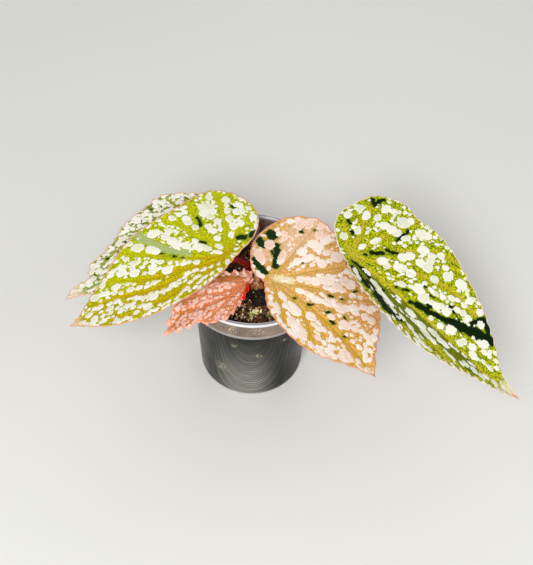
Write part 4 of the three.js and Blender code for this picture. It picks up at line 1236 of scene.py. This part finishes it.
# ------------------------------------------------------------------ right leaf
# The longest leaf, on the right: yellow-green above the midrib, deep olive
# below it, with a dark green band and patches; the blade folds at the midrib.
right_leaf = {
    "name": "leaf_right", "seed": 24, "bare": 1.9, "apart": 0.8,
    "stretch": (1.2, 2.2), "zone": (1, 0, 66),
    "base": [46, -5, 90], "heading": -36, "dip": 17, "bank": -8, "length": 102,
    "arch": 6, "fold": [0.16, 0.42], "crease": 3, "bow": -6, "wave": 1.2, "waves": 5, "phase": 0.8,
    "tooth": 0.5,
    "margin": [
        (102.5, -1.5), (93.5, -8), (82.5, -13.5), (72, -19), (61.5, -23.5), (48, -26.5), (38, -26),
        (27.5, -23), (16.5, -18), (6, -11), (-1.5, -4), (-9.5, 3), (-16.5, 11.5), (-18.5, 21.5),
        (-13.5, 36), (-7, 40.5), (3, 42), (12.5, 38.5), (21.5, 38), (33.5, 35), (45.5, 29),
        (60.5, 21), (71, 14.5), (79.5, 8.5), (88, 2), (96, 0), (102.5, -1.5),
    ],
    "veins": [
        [(7, -1), (20, -2), (33, -4), (47, -5), (60, -6), (80, -6), (99, -2)],
        [(12, 5), (30, 12), (48, 16), (66, 13)],
        [(8, 9), (19, 20), (30, 28), (40, 31)],
        [(3, 12), (8, 25), (12, 36)],
        [(-3, 11), (-7, 23), (-10, 36)],
        [(-6, 6), (-13, 14)],
        [(14, -6), (30, -14), (44, -22)],
        [(34, -8), (52, -15), (66, -19)],
    ],
    "spot_sizes": [(2.5, 1.5, 600), (1.5, 1.0, 1200), (1.0, 0.6, 1200)], "clump": 6, "crowd": (0.75, 0.2),
    "frill": 0.3, "frills": 52, "softness": 0.1, "flecks": 0.85,
    "band": 1.2, "thin": (0.16, 0.38), "grainy": 0.8, "tip_from": 0.89, "drawn": 0.5,
    "rows": [
        (1.5, 4.6, 2.2, [(7, -8), (11, -12)]), (1.0, 4.1, 2.6, [(27, -6), (33, -7)]),
        (1.6, 5.6, 2.4, [(18, -7), (25, -13), (31, -15), (41, -16), (46, -21), (51, -22)]),
        (1.7, 4.3, 2.0, [(38, -9), (43, -11)]), (2.1, 4.9, 1.8, [(46, -10), (50, -13)]),
        (1.9, 4.2, 1.6, [(52, -9), (58, -9), (55, -14)]), (1.7, 5.0, 1.6, [(62, -14), (66, -15)]),
        (1.3, 3.9, 2.2, [(62, -7), (70, -7), (76, -7)]), (1.7, 5.0, 1.6, [(73, -11), (77, -10), (82, -9)]),
        (1.6, 4.0, 1.4, [(75, -3), (80, -1), (84, -1)]), (1.4, 5.1, 2.0, [(35, -21), (41, -23), (46, -25)]),
        (1.3, 4.4, 1.8, [(56, -22), (62, -22), (68, -19), (75, -16), (82, -13), (88, -10)]),
        (1.8, 4.7, 1.5, [(84, -6), (90, -5), (95, -3)]), (1.9, 4.0, 1.1, [(44, 4), (49, 6)]),
        (1.6, 3.5, 1.2, [(46, 10), (51, 14), (55, 14), (57, 19)]),
        (1.7, 3.5, 1.1, [(54, 9), (59, 10), (62, 11)]),
        (2.0, 4.5, 1.2, [(66, -2), (71, 1), (74, 6)]), (1.4, 3.5, 1.2, [(76, 2), (80, 3)]),
        (1.3, 3.6, 1.3, [(39, 9), (42, 9)]),
    ],
    "placed": [
        (2, 25, 2.6, 1.0), (6, 25, 2.6, 1.0), (9, 25, 2.4, 1.1), (4, 15, 1.8, 1.8), (1, 8, 1.6, 1.5),
        (-15, 20, 2.2, 1.1), (-13, 27, 2.4, 1.0), (-8, 25, 2.1, 1.5), (-6, 15, 1.7, 1.8),
        (-9, 8, 2.1, 1.2), (-3, 27, 1.9, 1.3), (-3, 34, 2.2, 1.4), (8, 32, 3.2, 1.1),
        (10, 35, 2.1, 1.0), (14, 25, 1.8, 1.5), (18, 32, 2.9, 1.0), (21, 33, 2.4, 1.0),
        (19, 15, 2.6, 1.0), (21, 18, 2.6, 1.0), (13, 7, 2.5, 1.1), (16, 6, 2.1, 1.0), (21, 9, 2.6, 1.1),
        (23, 10, 2.1, 1.0), (27, 10, 2.6, 1.0), (27, 18, 2.6, 1.0), (31, 18, 2.8, 1.0),
        (30, 22, 2.3, 1.0), (24, 25, 2.6, 1.2), (29, 25, 2.1, 1.1), (32, 28, 2.1, 1.0),
        (37, 15, 2.3, 1.0), (41, 21, 2.8, 1.0), (48, 22, 2.9, 1.1), (27, 2, 1.7, 1.5),
        (35, 5, 2.5, 1.3), (39, 3, 2.8, 1.1), (46, 4, 2.3, 1.0), (51, 5, 2.5, 1.0), (11, -3, 1.4, 2.6),
        (18, -7, 1.9, 2.6), (23, -10, 1.9, 2.0), (28, -12, 1.8, 2.4), (30, -5, 1.1, 3.0),
        (36, -18, 1.6, 1.1), (39, -8, 1.9, 2.2), (46, -11, 1.9, 2.2), (53, -9, 2.4, 1.5),
        (65, -3, 2.0, 1.2), (73, -3, 2.3, 1.2), (58, -1, 2.5, 1.3), (60, -10, 2.1, 1.5), (67, 12, 2.1, 1.0),
        (48, 2.5, 1.1, 1.0), (51.5, 6.5, 1.5, 1.0), (65, 9.5, 0.9, 1.0), (68, 4, 1.0, 1.0),
        (47.5, -3, 1.6, 1.1),
        (53, -3, 2.1, 1.1), (54.5, -0.5, 0.5, 1.0),
    ],
    "dark": [
        (0.7, [(35, -3), (37.5, -2.5)]), (1.6, [(39, -2), (43.5, -1)]), (1.2, [(42, 1.5), (44, 2)]),
        (1.4, [(45, -1.5), (49.5, 0), (54, 1.5)]), (2.2, [(55, 2), (59, 3), (64, 5)]),
        (2.8, [(65.5, 5.5), (69.5, 7.5)]),
        (2.3, [(71.5, 8), (75.5, 9.5)]), (0.8, [(50.5, 8.5), (52.5, 9), (53.5, 7.5)]),
        (1.3, [(63.5, 9), (65, 13), (67, 15.5)]), (1.2, [(68, 15), (72, 11.5)]),
        (0.5, [(56, 6.5), (58, 6)]),
        (1.2, [(7, 8), (10.5, 11)]), (0.7, [(4.5, 5), (5, 5)]), (0.9, [(11, 13.5), (16.5, 15)]),
        (0.8, [(11.5, 21.5), (12.5, 29)]), (1.1, [(-11, 35), (-8.5, 33)]), (1.1, [(-8.5, 35), (-7, 38)]),
        (0.6, [(-13.5, 17.5), (-11, 16)]), (0.8, [(-7.5, 12.5), (-6.5, 11.5)]),
        (0.6, [(29, -0.5), (31, 1.5)]),
        (0.5, [(25.5, -1), (26, -0.5)]), (0.5, [(35.5, 8.5), (36.5, 9)]), (0.5, [(40.5, 6.5), (42, 6.5)]),
        (0.4, [(28, 9), (29, 9)]), (1.0, [(3, -2.5), (8, -3), (14.5, -5.5), (22, -7)]),
        (1.5, [(5, -6.5), (10, -9.5), (16, -13)]), (1.1, [(14, -9), (20, -10.5)]),
        (1.0, [(22, -11), (24, -11.5)]), (2.2, [(22, -14), (29, -18.5), (36, -18.5)]),
    ],
    "wash": [(5.0, [(8, -7), (24, -10)]), (7.0, [(24, -11), (46, -13)]), (4.0, [(46, -10), (76, -10)])],
    "clear": [(1.6, [(5, -3), (22, -8), (27, -16), (36, -19)])],
    "stain": [(0.6, [(98.5, -2.2), (102.5, -1.5)])],
    "look": {
        "line": "c4b040", "ground": "b8c200", "ground_far": "b0b410", "mottle": "dede08", "net": "486200",
        "vein": "d4b82c", "vein_far": "c8b430", "shadow": "688408", "dark": "061e02", "wash": "5c6a00",
        "tip": "e6ddc4", "stain": "eaa088", "spot": "efeee4", "spot_tint": "dfe0ce",
        "rim": "fffdf8", "edge": "ead6c4", "back": "6e3526", "back_tint": "8a5236", "rib": "b48a52",
    },
}
grow_leaf(right_leaf)

# ------------------------------------------------------------------ young leaf
# The smallest and newest leaf, salmon pink, frilled and sharply toothed, with
# golden veins and a red margin by the stalk.
young_leaf = {
    "name": "leaf_young", "seed": 25, "bare": 0.8, "apart": 0.95,
    "stretch": (1.3, 1.3), "zone": (1, 0, 30),
    "base": [-2, -12, 76], "heading": -146, "dip": 9, "bank": 4, "length": 47,
    "arch": 3, "fold": [0.2, 0.2], "crease": 2.5, "bow": 1, "wave": 0.9, "waves": 11, "phase": 0,
    "tooth": 1.1,
    "margin": [
        (47, 1.5), (43, -3), (37.5, -7), (30, -11), (20, -13), (11, -12), (4.5, -9.5), (0, -7.5),
        (-4, -6.5), (-4.2, -1.4), (-0.6, 1.4), (4, 6), (8.5, 10), (13.5, 12.5), (19, 15.5), (24, 13),
        (29, 11.5), (31, 7.5), (36.5, 7), (42, 4.5), (47, 1.5),
    ],
    "veins": [
        [(4, 0), (11, 2), (16, 2), (21, 2), (26, 1), (34, -3), (45, 1)],
        [(5, 4), (12, 9), (19, 13)],
        [(12, 4), (20, 7), (28, 9)],
        [(5, -4), (12, -8), (20, -11)],
        [(14, -1), (22, -5), (32, -8)],
    ],
    "spot_sizes": [(1.4, 0.9, 400), (0.9, 0.6, 900), (0.6, 0.35, 900)], "clump": 4, "crowd": (0.9, 0.9),
    "frill": 1.0, "frills": 22, "softness": 0.3, "flecks": 0.5,
    "band": 3.6, "thin": (0.0, 0.0), "grainy": 0.7, "tip_from": 0.92, "drawn": 0.45,
    "wash": [(1.6, [(2, -5), (6, -6.5), (10, -8.5)])],
    "clear": [(0.9, [(2, -5), (6, -6.5), (10, -8.5)])],
    "stain": [(1.6, [(0, 3.0), (4, 6.6), (6.5, 8.8)])],
    "look": {
        "line": "cc7430", "ground": "f88c6a", "ground_far": "f2a068", "mottle": "ffb48c", "net": "d06c34",
        "vein": "f2b078", "vein_far": "cc8038", "dark": "7a6a1e", "wash": "a87030",
        "tip": "ffd0a8", "stain": "ff2c24", "spot": "ffe0d2", "spot_tint": "ffcab6",
        "rim": "ffe8de", "edge": "ffb09c", "back": "b0503c", "back_tint": "c46a50", "rib": "d8915e",
    },
}
grow_leaf(young_leaf)

# ------------------------------------------------------------------ stalks
# Five glossy red leaf stalks, each swollen a little at its foot on the cane,
# bare, round, and paler in fine lines along its length.
STALK_RADIUS, FOOT_OUT, HEAD_RUN, HEAD_DROP = 1.25, 2.5, 4.0, 1.1  # mm
CLASPED = (3.0, -8.0, 66.0)  # mm; the stalks are tan about here, where a stipule clasped them
STEM_SHARP = math.radians(50)
STALKS = [
    # leaf, way out of the cane in degrees, height of the foot, points on the way (mm)
    (front_left, 175, 66.0, [(-1.2, -2.4, 75), (-7.9, -4.4, 83)]),
    (back_left, 130, 63.3, [(-2, 4, 68)]),
    (centre, -55, 64.0, [(6, -8.5, 70)]),
    (right_leaf, 30, 63.4, [(14, 6, 68.5), (28, 13, 74.5), (40, 15.5, 80), (46, 8.5, 85)]),
    (young_leaf, -115, 66.0, []),
]


def eased(points, steps=14):
    """A curve through the points whose pace follows the root of their spacing."""
    points = np.array(points, float)
    run = []
    for before, start, end, after in spans(points):
        gaps = (start - before, end - start, after - end)
        first, middle, last = (math.sqrt(np.linalg.norm(gap)) for gap in gaps)
        leave = (start - before) / first - (end - before) / (first + middle) + (end - start) / middle
        arrive = (end - start) / middle - (after - start) / (middle + last) + (after - end) / last
        for t in np.arange(steps) / steps:
            run.append(cubic(start, end, leave * middle, arrive * middle, t))
    return run + [points[-1]]


def stalk_points(leaf, side, height, via):
    outward = np.array([math.cos(math.radians(side)), math.sin(math.radians(side)), 0])
    foot = np.array([CANE_X, CANE_Y, height]) + outward * FOOT_OUT
    nought = np.zeros(1)
    normal = blade_normals(leaf, nought, nought)[0]
    head = blade_points(leaf, nought, nought)[0] - normal * HEAD_DROP
    return [foot, foot + outward * 1.2] + via + [head - normal * HEAD_RUN, head]


def stem_tree(name, material):
    """A round stem along a line, thicker at its foot and head."""
    tree = Growth(name, Radius="Float", Swelling="Float", Unevenness="Float", Sides="Int")
    add = tree.add
    given = add("NodeGroupInput")
    line = add("GeometryNodeMeshToCurve", None, {0: given["Base"]})
    share = add("GeometryNodeSplineParameter")["Factor"]
    centred = add("ShaderNodeMath", {"operation": "MULTIPLY_ADD"}, {0: share, 1: 2.0, 2: -1.0})
    ends = add("ShaderNodeMath", {"operation": "POWER"}, {0: centred[0], 1: 6.0})
    swell = add("ShaderNodeMath", {"operation": "MULTIPLY"}, {0: ends[0], 1: given["Swelling"]})
    uneven = add("ShaderNodeTexNoise", {"noise_dimensions": "1D"}, {"W": share, "Scale": 6.0})
    shift = add("ShaderNodeMath", {"operation": "SUBTRACT"}, {0: uneven[0], 1: 0.5})
    waver = add("ShaderNodeMath", {"operation": "MULTIPLY"}, {0: shift[0], 1: given["Unevenness"]})
    radius = add("ShaderNodeMath", {"operation": "ADD"}, {0: given["Radius"], 1: swell[0]})
    total = add("ShaderNodeMath", {"operation": "ADD"}, {0: radius[0], 1: waver[0]})
    section = add("GeometryNodeCurvePrimitiveCircle", None, {"Resolution": given["Sides"], "Radius": 1.0})
    tube = add("GeometryNodeCurveToMesh", None, {
        "Curve": line[0], "Profile Curve": section[0], "Scale": total[0], "Fill Caps": True,
    })
    tree.end(tube[0], material)
    return tree


def stem_mesh(name, points, material, radius, swelling=0.15, unevenness=0.1, sides=20):
    line = bpy.data.meshes.new(name + "_line")
    line.from_pydata([tuple(p * MM) for p in points], [(i, i + 1) for i in range(len(points) - 1)], [])
    mesh = stem_tree(name, material).grow(
        line, Radius=radius * MM, Swelling=swelling * MM, Unevenness=unevenness * MM, Sides=sides,
    )
    mesh.shade_smooth()
    mesh.set_sharp_from_angle(angle=STEM_SHARP)
    return mesh


def stalk_finish():
    finish = Finish(
        "red_stalk", Roughness=0.42, Specular_IOR_Level=0.18, Coat_Weight=0.05, Coat_Roughness=0.2,
    )
    where = finish.place()
    lines = finish.noise(finish.stretch(where, (900, 900, 120)), 1.0, 2.0)
    blush = finish.noise(where, 120)
    colour = finish.mix(lines.fade(0.4, 0.65), paint("660000"), paint("98100c"))
    colour = finish.mix(blush.fade(0.6, 0.8) * 0.4, colour, paint("a83020"))
    tan = finish.mix(lines, paint("ffb878"), paint("c86830"))
    colour = finish.mix(finish.away(where, CLASPED).fade(6.2, 4.8), colour, tan)
    return finish.wear(colour, None, lines, 0.00008)


red_skin = stalk_finish()
for leaf, side, height, via in STALKS:
    stalk_name = leaf["name"].replace("leaf", "stalk")
    stem = stem_mesh(stalk_name, eased(stalk_points(leaf, side, height, via)), red_skin, STALK_RADIUS)
    piece_from(stem, stalk_name, [stalk_name])

# ------------------------------------------------------------------ dried bud stub
# A thin dry brown shoot by the back wall, bent over, with a shrivelled bud.
BUD_TOP = (3.8, 29.0, 69.2)  # mm
BUD_RADIUS, BUD_STRETCH, STUB_FOOT = 1.3, 1.45, 50.0  # mm, times its width, mm
CREASES, CREASE_DEPTH, CREASE_TWIST = 7, 0.13, 4  # count, share of the radius, radians a radius


def stub_finish():
    finish = Finish("dry_bud", Roughness=0.75)
    where = finish.place()
    folds = finish.noise(finish.stretch(where, (1100, 1100, 300)), 1.0, 3.0)
    colour = finish.mix(folds.fade(0.35, 0.65), paint("3a1812"), paint("8c4a34"))
    return finish.wear(colour, None, folds, 0.0003)


dry_skin = stub_finish()
knee = ((STUB_X + BUD_TOP[0]) / 2, (STUB_Y + BUD_TOP[1]) / 2, (SOIL_LEVEL + BUD_TOP[2]) / 2 + 1)
stub_line = eased([(STUB_X, STUB_Y, STUB_FOOT), (STUB_X, STUB_Y, SOIL_LEVEL), knee, BUD_TOP])
shoot = stem_mesh("dry_shoot", stub_line, dry_skin, STUB_RADIUS, 0.0, 0.25, 16)
bud = bmesh.new()
bmesh.ops.create_icosphere(bud, subdivisions=4, radius=BUD_RADIUS * MM)
for corner in bud.verts:
    turn = CREASES * math.atan2(corner.co.y, corner.co.x)
    turn += CREASE_TWIST * corner.co.z / (BUD_RADIUS * MM)
    crease = 1 - CREASE_DEPTH * (0.5 + 0.5 * math.sin(turn))
    corner.co.x *= crease
    corner.co.y *= crease
    corner.co.z *= BUD_STRETCH
    corner.co += Vector(BUD_TOP) * MM
stub = joined("dried_stub", [shoot, plain_mesh("dry_bud", bud)])
stub.materials.clear()
stub.materials.append(dry_skin)
piece_from(stub, "dried_stub", ["dried_bud_stub"])
